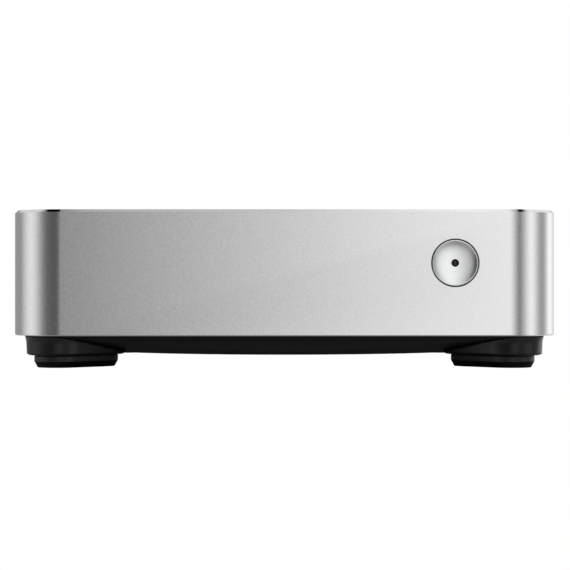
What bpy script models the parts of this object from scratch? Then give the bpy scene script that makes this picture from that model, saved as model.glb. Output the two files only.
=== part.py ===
"""Small square desktop computer: an aluminium cover over a black plastic base.

Metres, +Z up.  The origin is on the desk under the middle of the computer, +X is to
the right when it is seen from the front, and the front wall faces -Y.
"""
import math

import bmesh
import bpy
from mathutils import Matrix, Vector

MM = 0.001

# Cover: one drawn and milled aluminium box, open underneath.
WIDTH = 190.0 * MM
COVER_BOTTOM = 11.3 * MM
COVER_TOP = 55.0 * MM
COVER_RADIUS = 18.0 * MM
COVER_WALL = 1.6 * MM
COVER_ROOF = 1.8 * MM
TOP_CHAMFER = 0.9 * MM
BOTTOM_CHAMFER = 0.35 * MM
PORT_BAY_HALF = 76.0 * MM
PORT_BAY_TOP = 44.0 * MM

# Power button in the front wall.
BUTTON_X = 58.8 * MM
BUTTON_Z = 36.5 * MM
BUTTON_RADIUS = 7.55 * MM
BUTTON_HOLE = 7.85 * MM
BUTTON_SINK = 8.35 * MM
BUTTON_DISH = 0.40 * MM
BUTTON_LIP = 0.07 * MM
POST_DROP = 5.0 * MM
PIPE_RADIUS = 1.1 * MM
PIPE_HOLE = 1.35 * MM

# Base: a plinth with a flat disc underneath and four diagonal legs.
BASE_WIDTH = 182.0 * MM
BASE_RADIUS = 14.0 * MM
BASE_WALL = 2.0 * MM
BASE_FLOOR = 2.2 * MM
BASE_BOTTOM = 4.35 * MM
BASE_TOP = 16.5 * MM
DISC_RADIUS = 80.0 * MM
CONE_SLOPE = 0.164
LEG_CENTRE = 73.8 * MM
LEG_HALF_SPAN = 8.2 * MM
LEG_RADIUS = 11.0 * MM
LEG_TOP = 11.0 * MM
FOOT_HALF_SPAN = 7.9 * MM
FOOT_RADIUS = 8.6 * MM
FOOT_TOP = 4.05 * MM

# Mainboard and what stands on it.
BOARD_BOTTOM = 14.6 * MM
BOARD_TOP = 16.2 * MM
BOARD_HALF = 80.0 * MM
BOARD_FRONT = -74.0 * MM
BOARD_REAR = 88.0 * MM
SEAT = BOARD_TOP + 0.3 * MM
SCREWS = ((-75.5, -60.0), (75.5, -66.0), (-75.5, 78.0), (75.5, 78.0))

# Fan on top of the processor cooler.
FAN_X = 42.0 * MM
FAN_Y = 26.0 * MM
FAN_BOTTOM = 33.3 * MM
FAN_SIZE = 70.0 * MM
FAN_BORE = 31.5 * MM
BLADES = 9

# Rear panel and its sockets, from +X to -X.
PANEL_HALF = 75.6 * MM
POWER_X = 66.0 * MM
VIDEO_X = 46.0 * MM
DISPLAY_X = 25.0 * MM
NETWORK_X = 4.0 * MM
USB_X = (-17.0 * MM, -36.0 * MM)
AUDIO_X = -54.0 * MM
LOCK_X = -69.0 * MM


# ---------------------------------------------------------------- scene and materials

def clear_scene():
    for obj in list(bpy.data.objects):
        bpy.data.objects.remove(obj, do_unlink=True)


def collection(name):
    made = bpy.data.collections.new(name)
    bpy.context.scene.collection.children.link(made)
    return made


def material(name, colour, metallic, roughness):
    made = bpy.data.materials.new(name)
    made.use_nodes = True
    made.diffuse_color = (*colour, 1.0)
    shader = made.node_tree.nodes["Principled BSDF"]
    shader.inputs["Base Color"].default_value = (*colour, 1.0)
    shader.inputs["Metallic"].default_value = metallic
    shader.inputs["Roughness"].default_value = roughness
    return made


clear_scene()
PARTS = collection("mini_pc")
CUTTERS = collection("cutters")

ALUMINIUM = material("satin_aluminium", (0.72, 0.73, 0.75), 1.0, 0.35)
BRIGHT = material("bright_button", (0.78, 0.79, 0.80), 1.0, 0.2)
BLACK = material("black_plastic", (0.012, 0.012, 0.013), 0.0, 0.45)
RUBBER = material("black_rubber", (0.02, 0.02, 0.021), 0.0, 0.8)
SMOKE = material("smoked_lens", (0.03, 0.03, 0.035), 0.0, 0.15)
BOARD = material("circuit_board", (0.012, 0.045, 0.03), 0.0, 0.4)
STEEL = material("plated_steel", (0.62, 0.63, 0.64), 1.0, 0.3)
FINS = material("fin_aluminium", (0.66, 0.67, 0.69), 1.0, 0.3)
PLASTIC = material("socket_plastic", (0.03, 0.03, 0.032), 0.0, 0.5)
CELL = material("cell_steel", (0.7, 0.7, 0.7), 1.0, 0.2)


# ---------------------------------------------------------------- building tools

def smooth_round_faces(bm):
    """Shade smooth only where a face runs on into its neighbour at a small angle."""
    bm.normal_update()
    for face in bm.faces:
        angles = [e.calc_face_angle(0.0) for e in face.edges]
        face.smooth = any(0.01 < angle < math.radians(35) for angle in angles)


def add_object(name, bm, mat):
    smooth_round_faces(bm)
    mesh = bpy.data.meshes.new(name)
    bm.to_mesh(mesh)
    bm.free()
    obj = bpy.data.objects.new(name, mesh)
    PARTS.objects.link(obj)
    mesh.materials.append(mat)
    return obj


def hide(obj):
    """Make an object a guide: it shapes other parts and isn't one itself."""
    for home in list(obj.users_collection):
        home.objects.unlink(obj)
    CUTTERS.objects.link(obj)
    obj.hide_render = True
    obj.display_type = "WIRE"
    return obj


def boolean(target, other, operation):
    modifier = target.modifiers.new(other.name, "BOOLEAN")
    modifier.operation = operation
    modifier.object = hide(other)
    return target


def cut(target, other):
    return boolean(target, other, "DIFFERENCE")


def join(target, other):
    return boolean(target, other, "UNION")


def block_mesh(low, high):
    low = Vector(low)
    high = Vector(high)
    bm = bmesh.new()
    bmesh.ops.create_cube(bm, size=1.0)
    bmesh.ops.scale(bm, vec=high - low, verts=bm.verts)
    bmesh.ops.translate(bm, vec=(low + high) / 2, verts=bm.verts)
    return bm


def box(name, low, high, mat=BLACK):
    """Box between two corners, given in millimetres."""
    return add_object(name, block_mesh(Vector(low) * MM, Vector(high) * MM), mat)


def boxes(name, corners, mat=BLACK):
    """Several separate boxes in one object, for joining to or cutting from another."""
    bm = bmesh.new()
    for low, high in corners:
        low = Vector(low) * MM
        high = Vector(high) * MM
        made = bmesh.ops.create_cube(bm, size=1.0)["verts"]
        bmesh.ops.scale(bm, vec=high - low, verts=made)
        bmesh.ops.translate(bm, vec=(low + high) / 2, verts=made)
    return add_object(name, bm, mat)


def upright_edges(bm):
    return [e for e in bm.edges if abs(e.verts[0].co.z - e.verts[1].co.z) > 1e-6]


def level_edges(bm, z):
    return [e for e in bm.edges if all(abs(v.co.z - z) < 1e-7 for v in e.verts)]


def rounded_mesh(half_x, half_y, bottom, top, radius, segments=8):
    """Block about the Z axis with its four upright edges rounded."""
    bm = block_mesh((-half_x, -half_y, bottom), (half_x, half_y, top))
    bmesh.ops.bevel(bm, geom=upright_edges(bm), offset=radius, segments=segments,
                    profile=0.5, affect="EDGES")
    return bm


def chamfer_level(bm, z, width):
    bmesh.ops.bevel(bm, geom=level_edges(bm, z), offset=width, segments=1,
                    profile=0.5, affect="EDGES")


def rounded(name, half_x, half_y, bottom, top, radius, mat=BLACK, segments=8):
    return add_object(name, rounded_mesh(half_x, half_y, bottom, top, radius, segments), mat)


def cylinder(name, centre, radius, low, high, axis="Z", mat=BLACK, segments=32):
    """Cylinder between two positions along an axis; the centre gives the other two."""
    bm = bmesh.new()
    bmesh.ops.create_cone(bm, cap_ends=True, segments=segments, radius1=radius,
                          radius2=radius, depth=high - low)
    if axis == "Y":
        bmesh.ops.rotate(bm, matrix=Matrix.Rotation(math.pi / 2, 3, "X"), verts=bm.verts)
        bmesh.ops.translate(bm, vec=(centre[0], (low + high) / 2, centre[1]), verts=bm.verts)
    else:
        bmesh.ops.translate(bm, vec=(centre[0], centre[1], (low + high) / 2), verts=bm.verts)
    return add_object(name, bm, mat)


def lathe(name, profile, mat=BLACK, steps=48, closed=False, smooth=False):
    """Turn (radius, height) points about Z; they run down the outer side."""
    bm = bmesh.new()
    points = [bm.verts.new((r, 0.0, z)) for r, z in profile]
    for start, end in zip(points, points[1:]):
        bm.edges.new((start, end))
    if closed:
        bm.edges.new((points[-1], points[0]))
    obj = add_object(name, bm, mat)
    screw = obj.modifiers.new("turn", "SCREW")
    screw.steps = steps
    screw.render_steps = steps
    screw.use_merge_vertices = True
    screw.merge_threshold = 0.00001
    screw.use_smooth_shade = smooth
    return obj


def face_front(obj, x, z):
    """Turn a part made about Z so that its +Z points out of the front wall."""
    obj.rotation_euler = (math.pi / 2, 0.0, 0.0)
    obj.location = (x, 0.0, z)
    return obj


def stadium(name, levels, half_span, radius, mat=BLACK):
    """Upright oblong with round ends: levels are (height, inset from the radius)."""
    bottom, top = levels[0][0], levels[-1][0]
    bm = rounded_mesh(half_span + radius, radius, bottom, top, radius * 0.999, 10)
    for height, _ in levels[1:-1]:
        bmesh.ops.bisect_plane(bm, geom=bm.verts[:] + bm.edges[:] + bm.faces[:],
                               plane_co=(0, 0, height), plane_no=(0, 0, 1))
    for vertex in bm.verts:
        inset = min(levels, key=lambda level: abs(level[0] - vertex.co.z))[1]
        scale = (radius - inset) / radius
        centre = math.copysign(half_span, vertex.co.x)
        vertex.co.x = centre + (vertex.co.x - centre) * scale
        vertex.co.y *= scale
    return add_object(name, bm, mat)


def comb(name, low, high, floor, slots, slot_width, mat):
    """Block with upright slots along Y that leave a row of fins on a floor."""
    made = box(name, low, high, mat)
    pitch = (high[0] - low[0] - slot_width * slots) / (slots + 1) + slot_width
    first = low[0] + pitch - slot_width
    gaps = []
    for index in range(slots):
        x = first + index * pitch
        gaps.append(((x, low[1] - 1, floor), (x + slot_width, high[1] + 1, high[2] + 1)))
    return cut(made, boxes(name + "_gaps", gaps))


# ---------------------------------------------------------------- cover and power button

def make_cover():
    half = WIDTH / 2
    bm = rounded_mesh(half, half, COVER_BOTTOM, COVER_TOP, COVER_RADIUS, 10)
    chamfer_level(bm, COVER_TOP, TOP_CHAMFER)
    chamfer_level(bm, COVER_BOTTOM, BOTTOM_CHAMFER)
    cover = add_object("cover_shell", bm, ALUMINIUM)
    inner = half - COVER_WALL
    cut(cover, rounded("cover_hollow", inner, inner, 5 * MM, COVER_TOP - COVER_ROOF,
                       COVER_RADIUS - COVER_WALL, segments=8))
    bay = block_mesh((-PORT_BAY_HALF, 88 * MM, 5 * MM), (PORT_BAY_HALF, 99 * MM, PORT_BAY_TOP))
    cut(cover, add_object("port_bay", bm=bay, mat=BLACK))
    sink = [(0, 95.4 * MM), (BUTTON_SINK + 0.4 * MM, 95.4 * MM), (BUTTON_HOLE, 94.5 * MM),
            (BUTTON_HOLE, 90.0 * MM), (0, 90.0 * MM)]
    cut(cover, face_front(lathe("button_hole", sink, steps=40), BUTTON_X, BUTTON_Z))
    return cover


def make_button_guide():
    """Plastic ring behind the front wall that the button slides in."""
    ring = [(11.0 * MM, 93.1 * MM), (11.0 * MM, 88.2 * MM),
            (BUTTON_HOLE, 88.2 * MM), (BUTTON_HOLE, 93.1 * MM)]
    return face_front(lathe("button_guide", ring, BLACK, 40, True), BUTTON_X, BUTTON_Z)


def dish_profile():
    """From the hole in the middle out over the hollow face to the rim."""
    rim = BUTTON_RADIUS - 0.15 * MM
    points = []
    for index in range(9):
        r = PIPE_HOLE + (rim - PIPE_HOLE) * index / 8
        depth = BUTTON_DISH * (1 - (r / rim) ** 2) + BUTTON_LIP * (1 - (r / rim) ** 9)
        points.append((r, 94.7 * MM - depth))
    return points


def make_power_button():
    profile = dish_profile() + [
        (BUTTON_RADIUS, 94.55 * MM), (BUTTON_RADIUS, 87.9 * MM), (9.2 * MM, 87.9 * MM),
        (9.2 * MM, 86.7 * MM), (PIPE_HOLE, 86.7 * MM)]
    button = face_front(lathe("power_button", profile, BRIGHT, 48, True, True), BUTTON_X, BUTTON_Z)
    post = cylinder("button_post", (BUTTON_X, BUTTON_Z - POST_DROP), 1.6 * MM,
                    -87.0 * MM, -84.9 * MM, "Y", segments=16)
    return join(button, post)


def make_light_pipe():
    profile = [(0, 93.1 * MM), (0.8 * MM, 93.0 * MM), (PIPE_RADIUS, 92.7 * MM),
               (PIPE_RADIUS, 85.6 * MM), (0, 85.6 * MM)]
    return face_front(lathe("light_pipe", profile, SMOKE, 20), BUTTON_X, BUTTON_Z)


def make_power_switch():
    """Push switch on its small upright board, on a bracket behind the button."""
    x, z = BUTTON_X / MM, (BUTTON_Z - POST_DROP) / MM
    bracket = box("switch_bracket", (x - 11, -79.3, 12.0), (x + 11, -77.9, 46.0))
    join(bracket, box("switch_foot", (x - 11, -87.0, 12.0), (x + 11, -78.5, 13.4)))
    box("switch_board", (x - 10, -81.2, 24.0), (x + 10, -79.6, 46.0), BOARD)
    body = box("switch_body", (x - 3, -83.2, z - 3), (x + 3, -81.5, z + 3), PLASTIC)
    cut(body, cylinder("switch_bore", (BUTTON_X, z * MM), 1.8 * MM, -84 * MM, -81 * MM, "Y"))
    return cylinder("switch_plunger", (BUTTON_X, z * MM), 1.5 * MM,
                    -84.6 * MM, -82.35 * MM, "Y", PLASTIC, 24)


# ---------------------------------------------------------------- base

def floor_form(name, lift):
    """Solid above the underside: a flat disc that turns up into a shallow cone."""
    reach = 130.0 * MM
    low = BASE_BOTTOM + lift
    rim = low + (reach - DISC_RADIUS) * CONE_SLOPE
    profile = [(0, 30 * MM), (reach, 30 * MM), (reach, rim), (DISC_RADIUS, low), (0, low)]
    return lathe(name, profile, steps=80)


def corner(index):
    return 1 if index in (1, 3) else -1, 1 if index in (2, 3) else -1


def place_corner(obj, index):
    """Move an oblong to a corner and point it at the middle of the base."""
    side, depth = corner(index)
    obj.location = (side * LEG_CENTRE, depth * LEG_CENTRE, 0.0)
    obj.rotation_euler = (0.0, 0.0, math.radians(45 * side * depth))
    return obj


def make_base():
    half = BASE_WIDTH / 2
    base = rounded("base_tub", half, half, 4 * MM, BASE_TOP, BASE_RADIUS)
    boolean(base, floor_form("underside", 0.0), "INTERSECT")
    leg_levels = [(4.3 * MM, 1.3 * MM), (5.3 * MM, 0.0), (10.0 * MM, -0.2 * MM),
                  (LEG_TOP, -0.5 * MM)]
    for index in range(4):
        join(base, place_corner(stadium(f"leg_{index}", leg_levels, LEG_HALF_SPAN,
                                        LEG_RADIUS), index))
    inner = half - BASE_WALL
    hollow = rounded("base_hollow", inner, inner, 5 * MM, 25 * MM, BASE_RADIUS - BASE_WALL)
    boolean(hollow, floor_form("floor_top", BASE_FLOOR), "INTERSECT")
    cut(base, hollow)
    for index, (x, y) in enumerate(SCREWS):
        join(base, cylinder(f"post_{index}", (x * MM, y * MM), 3.5 * MM, 7.5 * MM,
                            BOARD_BOTTOM - 0.3 * MM, segments=20))
        cut(base, cylinder(f"pilot_{index}", (x * MM, y * MM), 1.5 * MM, 11.6 * MM,
                           20 * MM, segments=16))
    cut(base, boxes("rear_notches", [((-76.5, 84.0, 13.6), (76.5, 96.0, 20.0))]))
    cut(base, boxes("panel_notch", [((-52.0, 84.0, 11.6), (52.0, 96.0, 15.0))]))
    cut(base, make_intake())
    return base


def make_intake():
    """Ring of radial air slots for the disc underneath."""
    bm = bmesh.new()
    for index in range(20):
        made = bmesh.ops.create_cube(bm, size=1.0)["verts"]
        bmesh.ops.scale(bm, vec=(26 * MM, 3.2 * MM, 6 * MM), verts=made)
        bmesh.ops.translate(bm, vec=(50 * MM, 0, 5.5 * MM), verts=made)
        turn = Matrix.Rotation(2 * math.pi * index / 20, 3, "Z")
        bmesh.ops.rotate(bm, matrix=turn, verts=made)
    return add_object("intake_slots", bm, BLACK)


def make_feet():
    levels = [(0.0, 1.1 * MM), (2.1 * MM, 0.0), (FOOT_TOP, 0.0)]
    for index, name in enumerate(("foot_front_left", "foot_front_right",
                                  "foot_rear_left", "foot_rear_right")):
        place_corner(stadium(name, levels, FOOT_HALF_SPAN, FOOT_RADIUS, RUBBER), index)


# ---------------------------------------------------------------- mainboard

def make_mainboard():
    middle = (BOARD_FRONT + BOARD_REAR) / 2
    half_y = (BOARD_REAR - BOARD_FRONT) / 2
    bm = rounded_mesh(BOARD_HALF, half_y, BOARD_BOTTOM, BOARD_TOP, 4 * MM, 4)
    bmesh.ops.translate(bm, vec=(0, middle, 0), verts=bm.verts)
    board = add_object("mainboard", bm, BOARD)
    for index, (x, y) in enumerate(SCREWS):
        cut(board, cylinder(f"board_hole_{index}", (x * MM, y * MM), 1.7 * MM,
                            12 * MM, 20 * MM, segments=16))


def make_board_screws():
    for index, (x, y) in enumerate(SCREWS):
        profile = [(0, 18.2 * MM), (2.2 * MM, 18.2 * MM), (2.9 * MM, 17.7 * MM),
                   (2.9 * MM, SEAT), (1.15 * MM, SEAT), (1.15 * MM, 12.2 * MM), (0, 11.9 * MM)]
        screw = lathe(f"board_screw_{index + 1}", profile, STEEL, 20)
        screw.location = (x * MM, y * MM, 0)


def make_memory():
    """Two laptop-size memory modules, one over the other, in sockets of two heights."""
    for name, rear, height, card in (("lower", -54.0, 20.5, 18.0), ("upper", -62.0, 25.0, 22.4)):
        seat = SEAT / MM
        socket = box(f"memory_socket_{name}", (-71.0, rear - 6.5, seat), (1.0, rear, height), PLASTIC)
        cut(socket, box(f"slot_{name}", (-69.2, rear - 3.8, card - 0.4), (-0.8, rear + 1, card + 1.6)))
        box(f"memory_module_{name}", (-68.8, rear - 3.4, card), (-1.2, rear + 26.4, card + 1.2), BOARD)


def make_processor():
    x, y = FAN_X / MM, FAN_Y / MM
    box("processor", (x - 14, y - 14, SEAT / MM), (x + 14, y + 14, 18.5), STEEL)
    comb("processor_cooler", (x - 32, y - 32, 18.8), (x + 32, y + 32, 32.9), 21.6, 15, 2.6, FINS)


def make_small_board_parts():
    seat = SEAT / MM
    comb("chipset_cooler", (8.0, -48.0, seat), (38.0, -20.0, 24.0), 18.6, 6, 2.6, FINS)
    socket = box("wireless_socket", (52.0, -28.0, seat), (74.0, -22.0, 22.4), PLASTIC)
    cut(socket, box("wireless_slot", (52.6, -29.0, 19.7), (73.4, -25.0, 21.3)))
    box("wireless_card", (53.0, -57.0, 20.0), (73.0, -26.0, 20.9), BOARD)
    holder = [(11.4 * MM, 20.2 * MM), (11.4 * MM, SEAT), (0, SEAT), (0, 17.4 * MM),
              (10.35 * MM, 17.4 * MM), (10.35 * MM, 20.2 * MM)]
    cup = lathe("cell_holder", holder + holder[:1], PLASTIC, 32)
    cup.location = (24 * MM, -61.5 * MM, 0)
    cylinder("clock_cell", (24 * MM, -61.5 * MM), 10.0 * MM, 17.7 * MM, 20.9 * MM, "Z", CELL, 40)


# ---------------------------------------------------------------- fan

def make_fan():
    top = FAN_BOTTOM + 12 * MM
    half = FAN_SIZE / 2
    bm = rounded_mesh(half, half, FAN_BOTTOM, top, 4 * MM, 4)
    bmesh.ops.translate(bm, vec=(FAN_X, FAN_Y, 0), verts=bm.verts)
    housing = add_object("fan_housing", bm, BLACK)
    cut(housing, cylinder("fan_bore", (FAN_X, FAN_Y), FAN_BORE, FAN_BOTTOM - 1 * MM,
                          top + 1 * MM, segments=64))
    for index in range(3):
        arm = box(f"fan_arm_{index}", (6, -2, 0), (33, 2, 1.6))
        arm.location = (FAN_X, FAN_Y, FAN_BOTTOM)
        arm.rotation_euler = (0, 0, math.radians(45 + 120 * index))
        join(housing, arm)
    join(housing, cylinder("fan_plate", (FAN_X, FAN_Y), 13.5 * MM, FAN_BOTTOM,
                           FAN_BOTTOM + 1.6 * MM, segments=32))
    for index in range(4):
        side, depth = corner(index)
        place = (FAN_X + side * 30.5 * MM, FAN_Y + depth * 30.5 * MM)
        cut(housing, cylinder(f"fan_hole_{index}", place, 1.8 * MM, FAN_BOTTOM - 1 * MM,
                              top + 1 * MM, segments=16))
    stator = [(10.5 * MM, 40.5 * MM), (10.5 * MM, 35.2 * MM), (1.5 * MM, 35.2 * MM),
              (1.5 * MM, 40.5 * MM)]
    lathe("fan_stator", stator, STEEL, 32, True).location = (FAN_X, FAN_Y, 0)
    make_rotor()


def make_rotor():
    """Cup over the stator, with its shaft and blades, about the fan's axis."""
    cup = [(0, 43.8 * MM), (13.0 * MM, 43.8 * MM), (14.0 * MM, 43.0 * MM), (14.0 * MM, 36.2 * MM),
           (11.6 * MM, 36.2 * MM), (11.6 * MM, 41.8 * MM), (1.1 * MM, 41.8 * MM),
           (1.1 * MM, 36.4 * MM), (0, 36.4 * MM)]
    rotor = lathe("fan_rotor", cup, BLACK, 36)
    rotor.location = (FAN_X, FAN_Y, 0)
    bm = bmesh.new()
    for index in range(BLADES):
        made = bmesh.ops.create_cube(bm, size=1.0)["verts"]
        bmesh.ops.scale(bm, vec=(16.6 * MM, 12.0 * MM, 1.1 * MM), verts=made)
        bmesh.ops.rotate(bm, matrix=Matrix.Rotation(math.radians(30), 3, "X"), verts=made)
        bmesh.ops.translate(bm, vec=(21.4 * MM, 0, 40.0 * MM), verts=made)
        turn = Matrix.Rotation(2 * math.pi * index / BLADES, 3, "Z")
        bmesh.ops.rotate(bm, matrix=turn, verts=made)
    blades = add_object("fan_blades", bm, BLACK)
    blades.location = rotor.location
    join(rotor, blades)


# ---------------------------------------------------------------- drive

def make_drive():
    """2.5-inch drive on a folded steel bracket that stands over the memory."""
    bracket = box("drive_bracket", (-83.5, -73.0, 31.5), (-9.5, 30.0, 32.7), STEEL)
    join(bracket, boxes("bracket_folds", [
        ((-83.5, -60.0, 32.0), (-82.3, 20.0, 40.0)), ((-10.7, -60.0, 32.0), (-9.5, 20.0, 40.0)),
        ((-80.0, -73.0, 16.6), (-76.0, -71.8, 32.0)), ((-15.0, -73.0, 16.6), (-11.0, -71.8, 32.0)),
        ((-80.0, 28.8, 16.6), (-76.0, 30.0, 32.0)), ((-15.0, 28.8, 16.6), (-11.0, 30.0, 32.0))]))
    cut(bracket, boxes("bracket_windows", [((-70.0, -55.0, 30.0), (-24.0, -25.0, 34.0)),
                                           ((-70.0, -12.0, 30.0), (-24.0, 14.0, 34.0))]))
    box("storage_drive", (-81.9, -71.0, 33.0), (-12.1, 29.4, 42.5), STEEL)
    make_drive_cable()


def cable_route():
    """Flat cable from the drive's plug down to the board, as (y, z) in millimetres."""
    points = []
    for index in range(13):
        t = index / 12
        points.append((34.0 + 13.0 * math.sin(math.pi / 2 * t) ** 1.5,
                       38.0 - 18.0 * (3 * t * t - 2 * t ** 3)))
    return points


def make_drive_cable():
    plug = box("drive_cable", (-76.0, 29.8, 34.5), (-38.0, 36.0, 41.0), PLASTIC)
    bm = bmesh.new()
    rows = [[bm.verts.new((x * MM, y * MM, z * MM)) for x in (-72.0, -50.0)]
            for y, z in cable_route()]
    for (a, b), (c, d) in zip(rows, rows[1:]):
        bm.faces.new((a, b, d, c))
    ribbon = add_object("cable_ribbon", bm, BLACK)
    solid = ribbon.modifiers.new("thickness", "SOLIDIFY")
    solid.thickness = 0.9 * MM
    solid.offset = 0.0
    join(plug, ribbon)
    join(plug, box("cable_end", (-73.0, 43.5, 16.6), (-49.0, 50.5, 22.5)))


# ---------------------------------------------------------------- rear panel and sockets

def make_panel():
    plate = box("rear_panel", (-PANEL_HALF / MM, 92.9, 12.0), (PANEL_HALF / MM, 94.5, 43.6))
    join(plate, box("panel_flange", (-50.0, 84.6, 12.0), (50.0, 93.5, 13.2)))
    x = [v / MM for v in (VIDEO_X, DISPLAY_X, NETWORK_X, *USB_X, LOCK_X)]
    windows = [((x[0] - 8.0, 92, 16.1), (x[0] + 8.0, 96, 22.9)),
               ((x[1] - 8.6, 92, 16.1), (x[1] + 8.6, 96, 21.9)),
               ((x[2] - 8.4, 92, 16.1), (x[2] + 8.4, 96, 30.5)),
               ((x[3] - 7.6, 92, 16.1), (x[3] + 7.6, 96, 32.6)),
               ((x[4] - 7.6, 92, 16.1), (x[4] + 7.6, 96, 32.6)),
               ((x[5] - 3.5, 92, 22.0), (x[5] + 3.5, 96, 25.0))]
    cut(plate, boxes("panel_windows", windows))
    cut(plate, cylinder("power_window", (POWER_X, 22 * MM), 4.4 * MM, 92 * MM, 96 * MM, "Y"))
    for index, offset in enumerate((-3.5, 3.5)):
        cut(plate, cylinder(f"audio_window_{index}", (AUDIO_X + offset * MM, 20.5 * MM),
                            3.2 * MM, 92 * MM, 96 * MM, "Y", segments=24))
    vents = [((2 + 4 * i, 92, 35.0), (4.2 + 4 * i, 96, 41.8)) for i in range(18)]
    cut(plate, boxes("exhaust_slots", vents))


def socket_box(name, x, width, low, high, depth, openings, tongues):
    """Metal socket shell with open bays on the rear face and contact tongues in them."""
    x = x / MM
    shell = box(name, (x - width / 2, 94.2 - depth, low), (x + width / 2, 94.2, high), STEEL)
    bays = [((x - w / 2, 94.2 - d, z0), (x + w / 2, 97, z1)) for w, z0, z1, d in openings]
    cut(shell, boxes(name + "_bays", bays))
    if tongues:
        bars = [((x - w / 2, 93.2 - depth + 2.0, z0), (x + w / 2, 92.6, z1)) for w, z0, z1 in tongues]
        join(shell, boxes(name + "_tongues", bars, PLASTIC))
    return shell


def make_sockets():
    socket_box("video_socket", VIDEO_X, 15.2, 16.5, 22.5, 12.0,
               [(13.9, 17.1, 21.8, 9.0)], [(10.6, 19.0, 20.3)])
    socket_box("display_socket", DISPLAY_X, 16.4, 16.5, 21.5, 12.0,
               [(15.2, 17.1, 20.9, 9.0)], [(11.6, 18.5, 19.7)])
    network = socket_box("network_socket", NETWORK_X, 16.0, 16.5, 30.1, 21.0,
                         [(11.8, 19.6, 27.4, 15.0)], [])
    cut(network, box("network_latch", (1.0, 82.0, 17.6), (7.0, 97.0, 20.0)))
    for index, x in enumerate(USB_X):
        socket_box(f"usb_socket_{index + 1}", x, 14.4, 16.5, 32.2, 17.0,
                   [(13.2, 17.1, 22.9, 13.0), (13.2, 25.6, 31.4, 13.0)],
                   [(11.2, 20.6, 22.2), (11.2, 29.1, 30.7)])
    make_power_socket()
    make_audio_socket()


def make_power_socket():
    x = POWER_X / MM
    body = box("power_socket", (x - 4.8, 80.0, 16.5), (x + 4.8, 92.6, 27.0), PLASTIC)
    join(body, cylinder("power_nose", (POWER_X, 22 * MM), 4.0 * MM, 92 * MM, 94.3 * MM, "Y"))
    well = [(3.1 * MM, 12 * MM), (3.1 * MM, 0), (0.9 * MM, 0), (0.9 * MM, 12 * MM)]
    ring = lathe("power_well", well, steps=24, closed=True)
    ring.rotation_euler = (-math.pi / 2, 0, 0)
    ring.location = (POWER_X, 84 * MM, 22 * MM)
    cut(body, ring)
    cut(body, cylinder("pin_tip", (POWER_X, 22 * MM), 2.0 * MM, 93.4 * MM, 96 * MM, "Y"))


def make_audio_socket():
    x = AUDIO_X / MM
    body = box("audio_socket", (x - 7.2, 80.0, 16.5), (x + 7.2, 92.6, 24.2), PLASTIC)
    for index, offset in enumerate((-3.5, 3.5)):
        place = (AUDIO_X + offset * MM, 20.5 * MM)
        join(body, cylinder(f"audio_nose_{index}", place, 2.9 * MM, 92 * MM, 94.3 * MM, "Y", segments=24))
        cut(body, cylinder(f"audio_well_{index}", place, 1.8 * MM, 81.5 * MM, 96 * MM, "Y", segments=20))


def make_antennas():
    for name, x in (("antenna_left", -58.0), ("antenna_right", -22.0)):
        box(name, (x - 15, 91.8, 35.0), (x + 15, 92.6, 42.0), BOARD)


def smooth_route(points, per_span=3):
    """Even points on a Catmull-Rom curve through a route's own points."""
    ends = [points[0] * 2 - points[1]] + points + [points[-1] * 2 - points[-2]]
    route = []
    for a, b, c, d in zip(ends, ends[1:], ends[2:], ends[3:]):
        for step in range(per_span):
            t = step / per_span
            route.append(((b * 2) + (c - a) * t + (a * 2 - b * 5 + c * 4 - d) * t * t
                          + (b * 3 - a - c * 3 + d) * t ** 3) / 2)
    return route + [points[-1]]


def lead(name, points, radius):
    """Thin insulated wire along a smooth route through points in millimetres."""
    curve = bpy.data.curves.new(name, "CURVE")
    curve.dimensions = "3D"
    curve.bevel_depth = radius
    curve.bevel_resolution = 2
    curve.use_fill_caps = True
    route = smooth_route([Vector(p) * MM for p in points])
    spline = curve.splines.new("POLY")
    spline.points.add(len(route) - 1)
    for spot, place in zip(spline.points, route):
        spot.co = (*place, 1.0)
    curve.materials.append(BLACK)
    PARTS.objects.link(bpy.data.objects.new(name, curve))


def aerial_route(offset, start, end):
    """Up the right side, over the sockets and along the top of the rear panel."""
    edge = 83.6 + offset
    high = 45.4 + offset
    return [(start, -46, 21.4), (start, -46, 23), (start + 4, -45.5, 25.2 + offset),
            (72, -43 - offset, 25.6 + offset), (80 + offset, -34, 24), (edge, -18, 22), (edge, 5, 21),
            (edge, 30, 21), (edge, 55, 21.5), (edge - 0.6, 70, 24), (81 + offset, 82, 33),
            (77, 89.6, 41 + offset), (68, 91, high), (40, 91, high), (end + 22, 91, high),
            (end + 6, 91, high - 0.4), (end + 1.5, 91.6, 44.4), (end, 92.1, 42.9)]


def make_leads():
    box("fan_header", (-4.0, -9.0, SEAT / MM), (5.0, -1.0, 22.4), PLASTIC)
    lead("fan_lead", [(6.5, 8, 40), (4, 7.6, 39), (1.6, 6, 35), (0.6, 2, 30), (0.4, -2.5, 27),
                      (0.4, -5, 24.6), (0.4, -5.2, 22.9)], 0.9 * MM)
    lead("aerial_lead_right", aerial_route(0.0, 57.0, -12.0), 0.55 * MM)
    lead("aerial_lead_left", aerial_route(1.7, 66.0, -48.0), 0.55 * MM)


def make_speakers():
    for name, x in (("speaker_left", -25.0), ("speaker_right", 25.0)):
        speaker = box(name, (x - 19, -88.0, 10.2), (x + 19, -75.0, 30.0))
        cut(speaker, cylinder(name + "_cone", (x * MM, 20 * MM), 8.0 * MM, -90 * MM,
                              -87.0 * MM, "Y", segments=32))


make_cover()
make_button_guide()
make_power_button()
make_light_pipe()
make_power_switch()
make_base()
make_feet()
make_mainboard()
make_board_screws()
make_memory()
make_processor()
make_small_board_parts()
make_fan()
make_drive()
make_panel()
make_sockets()
make_antennas()
make_leads()
make_speakers()
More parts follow.
